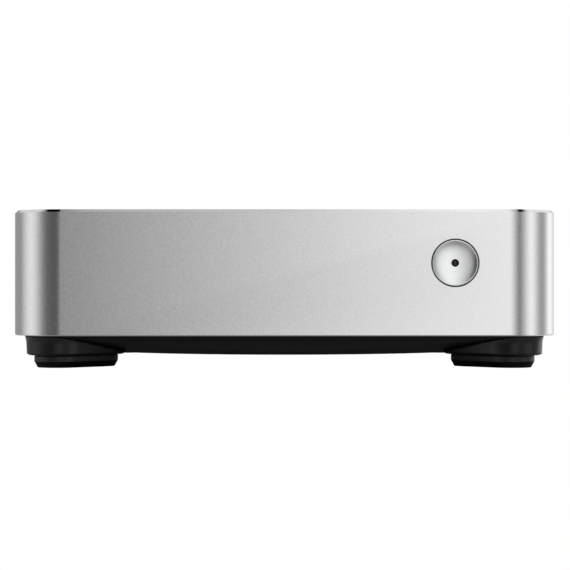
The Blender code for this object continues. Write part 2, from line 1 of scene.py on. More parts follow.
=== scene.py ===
"""Finished look of a small square desktop computer.

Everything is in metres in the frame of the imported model: the origin on the desk under
the middle, +Z up, the front wall with the power button towards -Y.
"""
import math
import random

import bmesh
import bpy
from mathutils import Matrix, Vector


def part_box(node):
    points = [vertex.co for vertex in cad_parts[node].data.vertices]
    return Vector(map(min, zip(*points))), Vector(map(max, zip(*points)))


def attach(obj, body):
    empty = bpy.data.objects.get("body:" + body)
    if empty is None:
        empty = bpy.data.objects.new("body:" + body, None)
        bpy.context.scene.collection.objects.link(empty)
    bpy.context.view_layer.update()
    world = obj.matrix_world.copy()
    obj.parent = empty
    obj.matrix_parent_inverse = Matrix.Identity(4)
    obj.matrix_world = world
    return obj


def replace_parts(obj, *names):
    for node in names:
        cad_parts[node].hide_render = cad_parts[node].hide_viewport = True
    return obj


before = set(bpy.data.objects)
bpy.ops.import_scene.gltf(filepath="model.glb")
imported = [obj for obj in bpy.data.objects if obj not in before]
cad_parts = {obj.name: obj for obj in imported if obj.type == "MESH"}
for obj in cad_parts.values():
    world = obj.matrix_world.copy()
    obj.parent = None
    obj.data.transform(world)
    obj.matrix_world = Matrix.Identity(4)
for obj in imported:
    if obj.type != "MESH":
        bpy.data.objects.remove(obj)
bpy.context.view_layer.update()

MM = 0.001

# Cover
HALF = 95.0 * MM
COVER_FOOT = 11.3 * MM
COVER_HEAD = 55.0 * MM
COVER_ROUND = 18.0 * MM
COVER_WALL = 1.6 * MM
COVER_ROOF = 1.8 * MM
BRIGHT_EDGE = 0.9 * MM
LOWER_EDGE = 0.35 * MM
ARC_STEPS = 36

# Button
BUTTON_X = 58.8 * MM
BUTTON_Z = 36.5 * MM
CAP_RADIUS = 7.55 * MM
LIP_RADIUS = 7.95 * MM
LIP_WIDE = 0.3 * MM
LIP_DEEP = 0.16 * MM
SINK_RADIUS = 8.4 * MM
BORE_RADIUS = 8.25 * MM
DISH_RADIUS = 7.62 * MM
POST_DROP = 5.0 * MM
DISH_DEPTH = 0.43 * MM
DISH_LIP = 0.15 * MM

# Base
BASE_HALF = 91.0 * MM
BASE_ROUND = 14.0 * MM
BASE_TOP = 16.5 * MM
DISC_RADIUS = 80.0 * MM
DISC_LEVEL = 4.35 * MM
CONE_SLOPE = 0.164
LEG_CENTRE = 73.8 * MM
LEG_SPAN = 8.2 * MM
PAD_SPAN = 7.9 * MM
LEG_RADIUS = 11.0 * MM
PAD_RADIUS = 8.6 * MM

# Board, in millimetres
BOARD_TOP = 16.2
BOARD_SCREWS = ((-75.5, -60.0), (75.5, -66.0), (-75.5, 78.0), (75.5, 78.0))


# ------------------------------------------------------------------ wiring materials

def feed(tree, value, socket):
    """Give a socket a value, or a link where the value is another socket."""
    if isinstance(value, bpy.types.NodeSocket):
        tree.links.new(value, socket)
    else:
        socket.default_value = value


def node(tree, kind, feeds=None, **settings):
    made = tree.nodes.new(kind)
    for key, value in settings.items():
        setattr(made, key, value)
    for key, value in (feeds or {}).items():
        feed(tree, value, made.inputs[key])
    return made


def finish(name, colour, metallic=0.0, roughness=0.5):
    mat = bpy.data.materials.new(name)
    mat.use_nodes = True
    mat.diffuse_color = (*colour, 1.0)
    shader = mat.node_tree.nodes["Principled BSDF"]
    shader.inputs["Base Color"].default_value = (*colour, 1.0)
    shader.inputs["Metallic"].default_value = metallic
    shader.inputs["Roughness"].default_value = roughness
    return mat, mat.node_tree, shader


def place(tree, stretch=(1, 1, 1), shift=(0, 0, 0), turn=(0, 0, 0)):
    """Object coordinates through a Mapping node."""
    spot = node(tree, "ShaderNodeTexCoord").outputs["Object"]
    return node(tree, "ShaderNodeMapping", {"Scale": stretch, "Location": shift, "Rotation": turn,
                                            "Vector": spot}).outputs["Vector"]


def noise(tree, scale, stretch=(1, 1, 1)):
    return node(tree, "ShaderNodeTexNoise", {"Scale": scale, "Detail": 3.0,
                                             "Vector": place(tree, stretch)}).outputs["Fac"]


def spread(tree, fac, low, high):
    """Map the middle half of a 0 to 1 factor onto a range of values."""
    return node(tree, "ShaderNodeMapRange", {"From Min": 0.25, "From Max": 0.75, "To Min": low,
                                             "To Max": high, "Value": fac}).outputs["Result"]


def tones(tree, fac, stops):
    """Colour ramp from (position, colour) stops."""
    made = node(tree, "ShaderNodeValToRGB", {"Fac": fac})
    elements = made.color_ramp.elements
    while len(elements) < len(stops):
        elements.new(0.5)
    for element, (position, colour) in zip(elements, stops):
        element.position = position
        element.color = (*colour, 1.0)
    return made.outputs["Color"]


def raise_surface(tree, shader, height, strength, distance):
    bump = node(tree, "ShaderNodeBump", {"Strength": strength, "Distance": distance,
                                         "Height": height})
    feed(tree, bump.outputs["Normal"], shader.inputs["Normal"])


def mottled(name, dark, light, metallic, rough, scale, bump, depth, stretch=(1, 1, 1)):
    """A finish whose colour, gloss and surface all vary with one fine grain."""
    mat, tree, shader = finish(name, light, metallic, sum(rough) / 2)
    grain = noise(tree, scale, stretch)
    feed(tree, tones(tree, grain, ((0.3, dark), (0.7, light))), shader.inputs["Base Color"])
    feed(tree, spread(tree, grain, *rough), shader.inputs["Roughness"])
    raise_surface(tree, shader, grain, bump, depth)
    return mat


BLASTED = mottled("blasted_aluminium", (0.735, 0.737, 0.74), (0.82, 0.822, 0.825), 1.0,
                  (0.14, 0.19), 1900.0, 0.35, 0.00002)
BRIGHT_CUT = mottled("bright_cut_edge", (0.84, 0.845, 0.85), (0.88, 0.885, 0.89), 1.0,
                     (0.05, 0.09), 900.0, 0.05, 0.00001)
# Darker copy of the cut metal: painted shade in the countersink round the button.
SHOULDER_PAINTED_SHADE = mottled("shoulder_painted_shade", (0.46, 0.463, 0.466), (0.54, 0.543, 0.546), 1.0,
                   (0.26, 0.34), 1400.0, 0.1, 0.00001)
INNER_METAL = mottled("raw_inner_aluminium", (0.55, 0.56, 0.57), (0.66, 0.67, 0.68), 1.0,
                      (0.35, 0.5), 500.0, 0.2, 0.00005)
BASE_BLACK = mottled("textured_black_plastic", (0.004, 0.004, 0.0042), (0.008, 0.008, 0.0085), 0.0,
                     (0.38, 0.5), 2200.0, 0.3, 0.00004)
LEG_BLACK = mottled("leg_black_plastic", (0.005, 0.005, 0.0052), (0.009, 0.009, 0.0095), 0.0,
                    (0.22, 0.30), 2200.0, 0.25, 0.00002)
# Near-black, dull plastic: painted shade in the crease where the legs meet the cone.
HOLLOW_PAINTED_SHADE = mottled("hollow_painted_shade_plastic", (0.0015, 0.0015, 0.0016), (0.003, 0.003, 0.0032),
                       0.0, (0.6, 0.75), 2200.0, 0.2, 0.00003)
# Darker, duller rubber: painted shade on the pads' lower chamfer where they face the table.
PAD_EDGE_PAINTED_SHADE = mottled("pad_edge_painted_shade", (0.002, 0.002, 0.002), (0.004, 0.004, 0.004), 0.0, (0.6, 0.8),
                    1500.0, 0.3, 0.00004)
PAD_RUBBER = mottled("black_foot_rubber", (0.006, 0.006, 0.0062), (0.011, 0.011, 0.0115), 0.0,
                     (0.36, 0.46), 1500.0, 0.25, 0.00003)
for mat, level in ((BASE_BLACK, 0.15), (LEG_BLACK, 0.33), (HOLLOW_PAINTED_SHADE, 0.04),
                   (PAD_RUBBER, 0.4), (PAD_EDGE_PAINTED_SHADE, 0.06)):
    mat.node_tree.nodes["Principled BSDF"].inputs["Specular IOR Level"].default_value = level
LENS = mottled("smoked_lens", (0.010, 0.010, 0.012), (0.014, 0.014, 0.016), 0.0, (0.10, 0.16),
               300.0, 0.02, 0.00001)


def turned_metal():
    """Bright metal with the fine rings that a lathe leaves round the button's middle."""
    mat, tree, shader = finish("turned_button_metal", (0.84, 0.845, 0.85), 1.0, 0.16)
    about_button = place(tree, (1, 0, 1), (-BUTTON_X, 0, -BUTTON_Z))
    rings = node(tree, "ShaderNodeTexWave",
                 {"Scale": 1500.0, "Distortion": 0.4, "Vector": about_button},
                 wave_type="RINGS", rings_direction="SPHERICAL")
    feed(tree, spread(tree, noise(tree, 700.0), 0.13, 0.2), shader.inputs["Roughness"])
    raise_surface(tree, shader, rings.outputs["Fac"], 0.08, 0.00001)
    return mat


TURNED = turned_metal()


# ------------------------------------------------------------------ making meshes

def solid(name, bm, *finishes, sharp=30.0):
    """Object from a bmesh: smooth over its rounds, flat on its flats."""
    bm.normal_update()
    limit = math.radians(sharp)
    for face in bm.faces:
        angles = [e.calc_face_angle(0.0) for e in face.edges]
        face.smooth = any(0.004 < angle < limit for angle in angles)
    for edge in bm.edges:
        edge.smooth = edge.calc_face_angle(0.0) < limit
    mesh = bpy.data.meshes.new(name)
    bm.to_mesh(mesh)
    bm.free()
    for mat in finishes:
        mesh.materials.append(mat)
    made = bpy.data.objects.new(name, mesh)
    bpy.context.scene.collection.objects.link(made)
    return made


def settle(piece, name, *finishes, sharp=30.0, paint=None):
    """Bake a piece's modifiers and place into a new plain mesh."""
    bpy.context.view_layer.update()
    graph = bpy.context.evaluated_depsgraph_get()
    mesh = bpy.data.meshes.new_from_object(piece.evaluated_get(graph))
    bm = bmesh.new()
    bm.from_mesh(mesh)
    bm.transform(piece.matrix_world)
    bmesh.ops.remove_doubles(bm, verts=bm.verts, dist=0.000001)
    bpy.data.meshes.remove(mesh)
    bpy.data.objects.remove(piece, do_unlink=True)
    if paint:
        bm.normal_update()
        for face in bm.faces:
            face.material_index = paint(face)
    return solid(name, bm, *finishes, sharp=sharp)


def shape(piece, other, operation):
    """Boolean with another piece, done at once; the other piece is used up."""
    modifier = piece.modifiers.new("shape", "BOOLEAN")
    modifier.operation = operation
    modifier.object = other
    bpy.context.view_layer.update()
    graph = bpy.context.evaluated_depsgraph_get()
    mesh = bpy.data.meshes.new_from_object(piece.evaluated_get(graph))
    piece.modifiers.remove(modifier)
    piece.data = mesh
    bpy.data.objects.remove(other, do_unlink=True)
    return piece


def rounded_ring(half_x, half_y, radius, steps=ARC_STEPS):
    """Points round a rectangle with round corners, anticlockwise from above."""
    points = []
    for quarter in range(4):
        sx = 1 if quarter in (0, 3) else -1
        sy = 1 if quarter in (0, 1) else -1
        for step in range(steps + 1):
            angle = math.pi / 2 * (quarter + step / steps)
            points.append((sx * (half_x - radius) + radius * math.cos(angle),
                           sy * (half_y - radius) + radius * math.sin(angle)))
    return points


def stacked(rings, heights):
    """Closed solid through rings of equal count at rising heights."""
    bm = bmesh.new()
    rows = [[bm.verts.new((x, y, z)) for x, y in ring] for ring, z in zip(rings, heights)]
    for low, high in zip(rows, rows[1:]):
        for i in range(len(low)):
            j = (i + 1) % len(low)
            bm.faces.new((low[i], low[j], high[j], high[i]))
    bm.faces.new(reversed(rows[0]))
    bm.faces.new(rows[-1])
    return bm


def rounded_block(half_x, half_y, radius, levels, steps=ARC_STEPS):
    """Upright rounded block; levels are (height, how far the side stands in there)."""
    rings = [rounded_ring(half_x - inset, half_y - inset, max(radius - inset, 0.00002), steps)
             for _, inset in levels]
    return stacked(rings, [height for height, _ in levels])


def block(low, high):
    low, high = Vector(low), Vector(high)
    bm = bmesh.new()
    bmesh.ops.create_cube(bm, size=1.0)
    bmesh.ops.scale(bm, vec=high - low, verts=bm.verts)
    bmesh.ops.translate(bm, vec=(low + high) / 2, verts=bm.verts)
    return bm


def eased(bm, width, segments=2):
    """Round every edge of a simple block a little."""
    bmesh.ops.bevel(bm, geom=bm.edges[:], offset=width, segments=segments, profile=0.5,
                    affect="EDGES")
    return bm


def turned(profile, steps=96, close=False):
    """Revolve (radius, height) points, listed down the outer side, about Z."""
    bm = bmesh.new()
    rows = []
    for radius, height in profile:
        if radius < 1e-7:
            rows.append([bm.verts.new((0, 0, height))])
            continue
        rows.append([bm.verts.new((radius * math.cos(2 * math.pi * k / steps),
                                   radius * math.sin(2 * math.pi * k / steps), height))
                     for k in range(steps)])
    pairs = list(zip(rows, rows[1:])) + ([(rows[-1], rows[0])] if close else [])
    for upper, lower in pairs:
        for k in range(steps):
            j = (k + 1) % steps
            ring = [upper[k % len(upper)], lower[k % len(lower)],
                    lower[j % len(lower)], upper[j % len(upper)]]
            corners = list(dict.fromkeys(ring))
            if len(corners) > 2:
                bm.faces.new(corners)
    return bm


def rolled(start, front, wide, deep, steps=6):
    """Quarter of an ellipse as a turned edge: from a front face outwards and back."""
    angles = [math.pi / 2 * step / steps for step in range(1, steps + 1)]
    return [(start + wide * math.sin(a), front - deep * (1 - math.cos(a))) for a in angles]


def at(x, y, z=0.0):
    """Place in millimetres."""
    return Matrix.Translation((x * MM, y * MM, z * MM))


def looking(side, x, z, y=0.0):
    """Place in millimetres whose +Z looks out of the front (1) or the rear (-1)."""
    return at(x, y, z) @ Matrix.Rotation(side * math.pi / 2, 4, "X")


def placed(bm, spot):
    bm.transform(spot)
    return bm


def at_button(bm, drop=0.0):
    """Turn a piece made about Z to look out of the front at the button, or just below it."""
    spot = Matrix.Translation((BUTTON_X, 0, BUTTON_Z - drop))
    return placed(bm, spot @ Matrix.Rotation(math.pi / 2, 4, "X"))


def lathe(profile, spot, steps=48, close=False):
    """Turned piece from a profile in millimetres, put in its place."""
    return placed(turned([(r * MM, h * MM) for r, h in profile], steps, close), spot)


def rod(radius, low, high):
    """Profile of a plain rod."""
    return [(0, high), (radius, high), (radius, low), (0, low)]


def plate(low, high, ease=0.0):
    """Block from corners in millimetres, its edges eased."""
    made = block(Vector(low) * MM, Vector(high) * MM)
    return eased(made, ease * MM) if ease else made


def merged(name, parts, *finishes, sharp=30.0):
    """One piece from several meshes."""
    whole = bmesh.new()
    for part in parts:
        mesh = bpy.data.meshes.new("part")
        part.to_mesh(mesh)
        part.free()
        whole.from_mesh(mesh)
        bpy.data.meshes.remove(mesh)
    return solid(name, whole, *finishes, sharp=sharp)


def corner_place(bm, index):
    side = 1 if index in (1, 3) else -1
    depth = 1 if index in (2, 3) else -1
    turn = Matrix.Rotation(math.radians(45 * side * depth), 4, "Z")
    return placed(bm, Matrix.Translation((side * LEG_CENTRE, depth * LEG_CENTRE, 0)) @ turn)


def ready(piece, body="chassis"):
    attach(piece, body)
    return piece


# ------------------------------------------------------------------ cover

def cover_finish(face):
    """0 blasted outside, 1 bright cut edges, 2 raw inside, 3 painted shade on the shoulder round
    the button.
    """
    middle = face.calc_center_median()
    normal = face.normal
    if 0.3 < normal.z < 0.95 and middle.z > COVER_HEAD - 1.5 * BRIGHT_EDGE:
        return 1
    near = math.hypot(middle.x - BUTTON_X, middle.z - BUTTON_Z)
    # The countersink round the button gets the darker metal that paints its shade.
    if near < SINK_RADIUS and middle.y < -HALF + COVER_WALL and normal.y > -0.99:
        return 3
    if normal.z < -0.3 and middle.z < COVER_FOOT + 2 * LOWER_EDGE:
        return 1
    outside = max(abs(middle.x), abs(middle.y)) > HALF - COVER_WALL / 2
    corner = Vector((abs(middle.x) - HALF + COVER_ROUND, abs(middle.y) - HALF + COVER_ROUND))
    rounded = min(corner) > 0 and corner.length > COVER_ROUND - COVER_WALL / 2
    return 0 if outside or rounded or middle.z > COVER_HEAD - COVER_ROOF / 2 else 2


def make_cover():
    levels = [(COVER_FOOT, LOWER_EDGE), (COVER_FOOT + LOWER_EDGE, 0.0),
              (COVER_HEAD - BRIGHT_EDGE, 0.0), (COVER_HEAD, BRIGHT_EDGE)]
    cover = solid("cover", rounded_block(HALF, HALF, COVER_ROUND, levels), BLASTED)
    inner = HALF - COVER_WALL
    room = rounded_block(inner, inner, COVER_ROUND - COVER_WALL,
                         [(COVER_FOOT - 5 * MM, 0.0), (COVER_HEAD - COVER_ROOF, 0.0)])
    shape(cover, solid("cover_room", room), "DIFFERENCE")
    bay = block((-76 * MM, 88 * MM, 5 * MM), (76 * MM, 99 * MM, 44 * MM))
    shape(cover, solid("cover_bay", bay), "DIFFERENCE")
    slope = SINK_RADIUS - BORE_RADIUS
    proud = 0.4 * MM
    inside = 90.0 * MM
    sink = [(0, HALF + proud), (SINK_RADIUS + proud, HALF + proud), (BORE_RADIUS, HALF - slope),
            (BORE_RADIUS, inside), (0, inside)]
    shape(cover, solid("cover_hole", at_button(turned(sink, 128))), "DIFFERENCE")
    cover = settle(cover, "cover_skin", BLASTED, BRIGHT_CUT, INNER_METAL, SHOULDER_PAINTED_SHADE, sharp=20.0,
                   paint=cover_finish)
    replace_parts(cover, "cover_shell")
    ready(cover, "cover")


def make_button():
    """Dished cap, with a rolled rim, round the dark middle lens."""
    rim = LIP_RADIUS - LIP_WIDE
    hole = 1.35 * MM
    front = 94.7 * MM
    profile = []
    for step in range(41):
        r = hole + (DISH_RADIUS - hole) * step / 40
        share = r / DISH_RADIUS
        profile.append((r, front - DISH_DEPTH * (1 - share ** 2) - DISH_LIP * (1 - share ** 7)))
    profile.append((DISH_RADIUS + 0.02 * MM, front))
    profile += rolled(rim, front, LIP_WIDE, LIP_DEEP)
    profile += [(LIP_RADIUS, 94.25 * MM), (CAP_RADIUS, 94.2 * MM), (CAP_RADIUS, 87.9 * MM),
                (9.2 * MM, 87.9 * MM), (9.2 * MM, 86.7 * MM), (hole, 86.7 * MM)]
    cap = at_button(turned(profile, 128, True))
    post = [(0, 87.0), (1.6, 87.0), (1.6, 85.1), (1.4, 84.9), (0, 84.9)]
    post = at_button(lathe(post, at(0, 0), 32), POST_DROP)
    cap = shape(solid("cap", cap), solid("post", post), "UNION")
    cap = settle(cap, "button_cap", TURNED, sharp=30.0)
    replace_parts(cap, "power_button")
    ready(cap, "button")
    dome = [(0, 93.1 * MM)] + rolled(0, 93.1 * MM, 1.1 * MM, 0.4 * MM)
    dome += [(1.1 * MM, 85.6 * MM), (0, 85.6 * MM)]
    lens = solid("button_lens", at_button(turned(dome, 48)), LENS)
    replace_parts(lens, "light_pipe")
    ready(lens, "button")


# ------------------------------------------------------------------ base

def cone_room(name, lift):
    """Solid above the underside: the flat disc turning up into the shallow cone."""
    reach = 130.0 * MM
    low = DISC_LEVEL + lift
    rim = low + (reach - DISC_RADIUS) * CONE_SLOPE
    profile = [(0, 30 * MM), (reach, 30 * MM), (reach, rim), (DISC_RADIUS, low), (0, low)]
    return solid(name, turned(profile, 192))


def oblong_ring(span, radius, arc=40, along=16):
    """Points round a long hole shape, anticlockwise, with its straights divided too."""
    points = []
    for side in (1, -1):
        for step in range(arc + 1):
            angle = math.pi * (step / arc - side * 0.5)
            points.append((side * span + radius * math.cos(angle), radius * math.sin(angle)))
        for step in range(1, along):
            points.append((side * span * (1 - 2 * step / along), side * radius))
    return points


def oblong(name, levels, span, radius, index):
    rings = [oblong_ring(span, radius - inset) for _, inset in levels]
    bm = stacked(rings, [height for height, _ in levels])
    return solid(name, corner_place(bm, index))


def leg_levels():
    """Chamfered at the foot, drafted up the side, flared where it meets the cone."""
    levels = [(4.3, 1.3), (4.42, 0.75), (4.7, 0.2)]
    levels += [(5.05 + 2.95 * t / 8, -0.12 * t / 8) for t in range(9)]
    levels += [(8.0 + 3.0 * t / 9, -0.12 - 0.5 * (t / 9) ** 2) for t in range(1, 10)]
    return [(z * MM, inset * MM) for z, inset in levels]


def make_base():
    base = solid("base", rounded_block(BASE_HALF, BASE_HALF, BASE_ROUND,
                                       [(3 * MM, 0.0), (BASE_TOP, 0.0)]))
    shape(base, cone_room("underside", 0.0), "INTERSECT")
    for index in range(4):
        shape(base, oblong("leg", leg_levels(), LEG_SPAN, LEG_RADIUS, index), "UNION")
    inner = BASE_HALF - 2 * MM
    room = solid("room", rounded_block(inner, inner, BASE_ROUND - 2 * MM,
                                       [(5 * MM, 0.0), (25 * MM, 0.0)]))
    shape(room, cone_room("floor_top", 2.2 * MM), "INTERSECT")
    shape(base, room, "DIFFERENCE")
    for x, y in BOARD_SCREWS:
        post = lathe(rod(3.5, 7.5, 14.3), at(x, y), 40)
        shape(base, solid("post", post), "UNION")
        pilot = lathe(rod(1.5, 11.6, 20.0), at(x, y), 32)
        shape(base, solid("pilot", pilot), "DIFFERENCE")
    for low, high in (((-76.5, 84, 13.6), (76.5, 96, 20)), ((-52, 84, 11.6), (52, 96, 15))):
        shape(base, solid("notch", plate(low, high)), "DIFFERENCE")
    shape(base, make_intake(), "DIFFERENCE")
    base = settle(base, "base_skin", BASE_BLACK, LEG_BLACK, HOLLOW_PAINTED_SHADE, sharp=6.0,
                  paint=leg_or_plinth)
    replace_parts(base, "base_tub")
    ready(base)


def leg_or_plinth(face):
    """1 on the flanks of the four legs, 2 painted shade in the hollow under the cone, 0 everywhere
    else.
    """
    middle = face.calc_center_median()
    off_leg = abs(abs(middle.x) - LEG_CENTRE) + abs(abs(middle.y) - LEG_CENTRE)
    if off_leg > 36 * MM or middle.z > 11.2 * MM or abs(face.normal.z) > 0.6:
        return 0
    reach = math.hypot(middle.x, middle.y)
    under_cone = DISC_LEVEL + max(reach - DISC_RADIUS, 0) * CONE_SLOPE - middle.z
    # Leg faces close under the cone get the painted shade of the crease.
    if under_cone < 1.5 * MM * (130 * MM - reach) / (45 * MM):
        return 2
    return 1 if abs(face.normal.z) < 0.3 else 0


def make_intake():
    """Ring of radial air slots with round ends."""
    slot = rounded_block(13 * MM, 1.6 * MM, 1.59 * MM, [(2.5 * MM, 0), (8.5 * MM, 0)], 8)
    return run_tree("intake", SPIN, solid("slot", placed(slot, at(50, 0))), BASE_BLACK, Count=20)


def make_pads():
    names = ("foot_front_left", "foot_front_right", "foot_rear_left", "foot_rear_right")
    levels = [(0.0, 1.25), (0.12, 1.1), (1.95, 0.12), (2.15, 0.0), (3.9, 0.0), (4.05, 0.12)]
    levels = [(z * MM, inset * MM) for z, inset in levels]
    for index, name in enumerate(names):
        pad = oblong(name + "_pad", levels, PAD_SPAN, PAD_RADIUS, index)
        pad.data.materials.append(PAD_RUBBER)
        pad.data.materials.append(PAD_EDGE_PAINTED_SHADE)
        # Downward-facing chamfer faces get the painted shade.
        for face in pad.data.polygons:
            face.material_index = 1 if face.normal.z < -0.2 else 0
        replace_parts(pad, name)
        ready(pad)


# ------------------------------------------------------------------ finishes inside

def voronoi(tree, scale):
    """Cells that run straight through the thickness of a board."""
    return node(tree, "ShaderNodeTexVoronoi", {"Scale": scale,
                                               "Vector": place(tree, (1, 1, 0.01))}).outputs


def maths(tree, operation, first, second):
    return node(tree, "ShaderNodeMath", {0: first, 1: second}, operation=operation).outputs["Value"]


def mixed(tree, fac, low, high):
    """Colour between low and high, which are colours or sockets."""
    low, high = ((*v, 1.0) if isinstance(v, tuple) else v for v in (low, high))
    return node(tree, "ShaderNodeMix", {"Factor": fac, "A": low, "B": high},
                data_type="RGBA").outputs["Result"]


def circuit(name, mask, copper):
    """Solder mask over runs of fine copper tracks, with tinned joints."""
    mat, tree, shader = finish(name, mask, 0.0, 0.42)
    pick = node(tree, "ShaderNodeSeparateColor", {"Color": voronoi(tree, 95.0)["Color"]}).outputs
    across = maths(tree, "GREATER_THAN", pick["Red"], 0.5)
    runs = []
    for direction, share in (("X", across), ("Y", maths(tree, "SUBTRACT", 1.0, across))):
        bands = node(tree, "ShaderNodeTexWave", {"Scale": 330.0, "Vector": place(tree)},
                     bands_direction=direction)
        line = maths(tree, "GREATER_THAN", bands.outputs["Fac"], 0.72)
        runs.append(maths(tree, "MULTIPLY", share, line))
    tracks = maths(tree, "MULTIPLY", maths(tree, "ADD", *runs),
                   maths(tree, "GREATER_THAN", pick["Green"], 0.4))
    dots = maths(tree, "LESS_THAN", voronoi(tree, 250.0)["Distance"], 0.1)
    tint = mixed(tree, tracks, mask, copper)
    feed(tree, mixed(tree, dots, tint, (0.55, 0.55, 0.52)), shader.inputs["Base Color"])
    feed(tree, maths(tree, "MULTIPLY", dots, 0.9), shader.inputs["Metallic"])
    height = maths(tree, "ADD", maths(tree, "MULTIPLY", tracks, 0.4), dots)
    raise_surface(tree, shader, height, 0.4, 0.00004)
    return mat


def brushed(name, dark, light, rough, stretch):
    """Metal with a grain drawn out along one direction."""
    return mottled(name, dark, light, 1.0, rough, 1.0, 0.25, 0.00004, stretch)


BOARD_MASK = circuit("dark_circuit_board", (0.008, 0.036, 0.026), (0.024, 0.085, 0.058))
MEMORY_MASK = circuit("green_circuit_board", (0.012, 0.085, 0.035), (0.030, 0.16, 0.065))
STEEL = brushed("plated_steel", (0.40, 0.405, 0.41), (0.58, 0.585, 0.59), (0.25, 0.42),
                (120, 2600, 2600))
PLATED = mottled("nickel_plate", (0.56, 0.55, 0.52), (0.68, 0.67, 0.64), 1.0, (0.2, 0.32), 400.0,
                 0.1, 0.00002)
FINS = brushed("fin_aluminium", (0.62, 0.63, 0.64), (0.78, 0.785, 0.79), (0.24, 0.4),
               (2400, 120, 2400))
DRIVE_METAL = brushed("drive_case_metal", (0.30, 0.305, 0.31), (0.42, 0.425, 0.43), (0.34, 0.5),
                      (2200, 160, 2200))
FAN_BLACK = mottled("glossy_fan_plastic", (0.010, 0.010, 0.011), (0.020, 0.020, 0.021), 0.0,
                    (0.28, 0.4), 900.0, 0.15, 0.00003)
SOCKET_BLACK = mottled("moulded_socket_plastic", (0.012, 0.012, 0.012), (0.022, 0.022, 0.022), 0.0,
                       (0.4, 0.55), 1400.0, 0.2, 0.00003)
GUIDE_GREY = mottled("charcoal_moulding", (0.030, 0.031, 0.033), (0.046, 0.047, 0.049), 0.0,
                     (0.42, 0.56), 1200.0, 0.25, 0.00004)
PANEL_BLACK = mottled("powder_coated_panel", (0.010, 0.010, 0.0105), (0.019, 0.019, 0.020), 0.0,
                      (0.48, 0.6), 1800.0, 0.5, 0.00006)
SHEATH = mottled("lead_sheath", (0.014, 0.014, 0.015), (0.026, 0.026, 0.027), 0.0, (0.38, 0.5),
                 700.0, 0.15, 0.00004)
GOLD = mottled("gold_contact", (0.72, 0.48, 0.18), (0.86, 0.62, 0.26), 1.0, (0.18, 0.3), 900.0,
               0.1, 0.00001)
TIN = mottled("tinned_end", (0.62, 0.62, 0.61), (0.78, 0.78, 0.77), 1.0, (0.26, 0.42), 1500.0, 0.3,
              0.00003)
CHIP = mottled("chip_moulding", (0.014, 0.014, 0.015), (0.026, 0.026, 0.027), 0.0, (0.45, 0.6),
               2400.0, 0.35, 0.00003)
CERAMIC = mottled("tan_ceramic", (0.20, 0.13, 0.07), (0.32, 0.22, 0.13), 0.0, (0.4, 0.55), 900.0,
                  0.1, 0.00002)
FERRITE = mottled("coil_ferrite", (0.045, 0.046, 0.048), (0.085, 0.086, 0.088), 0.2, (0.5, 0.7),
                  1600.0, 0.5, 0.00006)
CAN = mottled("capacitor_can", (0.66, 0.66, 0.66), (0.78, 0.78, 0.78), 1.0, (0.22, 0.32), 1200.0,
              0.1, 0.00002)
CONE = mottled("speaker_cone", (0.020, 0.020, 0.021), (0.038, 0.038, 0.039), 0.0, (0.6, 0.8),
               1100.0, 0.4, 0.00006)
FOAM = mottled("grey_foam", (0.06, 0.06, 0.062), (0.11, 0.11, 0.112), 0.0, (0.85, 0.95), 900.0,
               0.8, 0.0002)
LAMP = mottled("lamp_plastic", (0.72, 0.72, 0.68), (0.82, 0.82, 0.78), 0.0, (0.25, 0.35), 400.0,
               0.05, 0.00001)
AMBER = mottled("amber_window", (0.62, 0.30, 0.03), (0.74, 0.40, 0.06), 0.0, (0.15, 0.25), 500.0,
                0.05, 0.00001)
GREEN = mottled("green_window", (0.10, 0.42, 0.12), (0.16, 0.55, 0.18), 0.0, (0.15, 0.25), 500.0,
                0.05, 0.00001)

# What each carried-over part is finished in.
FINISH_OF = (
    (STEEL, ("drive_bracket", "usb_socket_1", "usb_socket_2", "network_socket", "video_socket",
             "display_socket")),
    (PLATED, ("board_screw_1", "board_screw_2", "board_screw_3", "board_screw_4", "processor",
              "clock_cell")),
    (FINS, ("chipset_cooler", "processor_cooler")),
    (DRIVE_METAL, ("storage_drive",)),
    (BOARD_MASK, ("mainboard", "switch_board", "wireless_card")),
    (MEMORY_MASK, ("memory_module_upper", "memory_module_lower")),
    (FAN_BLACK, ("fan_housing", "fan_rotor", "fan_stator")),
    (SOCKET_BLACK, ("memory_socket_upper", "memory_socket_lower", "wireless_socket", "cell_holder",
                    "audio_socket", "power_socket", "drive_cable", "fan_header", "switch_body",
                    "switch_plunger")),
    (GUIDE_GREY, ("button_guide", "switch_bracket", "speaker_left", "speaker_right")),
    (PANEL_BLACK, ("rear_panel",)),
    (SHEATH, ("fan_lead", "aerial_lead_left", "aerial_lead_right")),
)


def aerial_film():
    """Dark flexible film with a meandering copper strip under it."""
    mat, tree, shader = finish("aerial_film", (0.02, 0.02, 0.02), 0.0, 0.35)
    strip = node(tree, "ShaderNodeTexBrick", {
        "Scale": 300.0, "Mortar Size": 0.06, "Color1": (0.016, 0.016, 0.016, 1.0),
        "Color2": (0.022, 0.021, 0.020, 1.0), "Mortar": (0.30, 0.16, 0.07, 1.0),
        "Vector": place(tree, turn=(math.pi / 2, 0, 0))})
    feed(tree, strip.outputs["Color"], shader.inputs["Base Color"])
    feed(tree, spread(tree, noise(tree, 800.0), 0.3, 0.42), shader.inputs["Roughness"])
    return mat


def finish_parts():
    for mat, names in FINISH_OF + ((aerial_film(), ("antenna_left", "antenna_right")),):
        for name in names:
            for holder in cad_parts[name].material_slots:
                holder.material = mat


# ------------------------------------------------------------------ what repeats

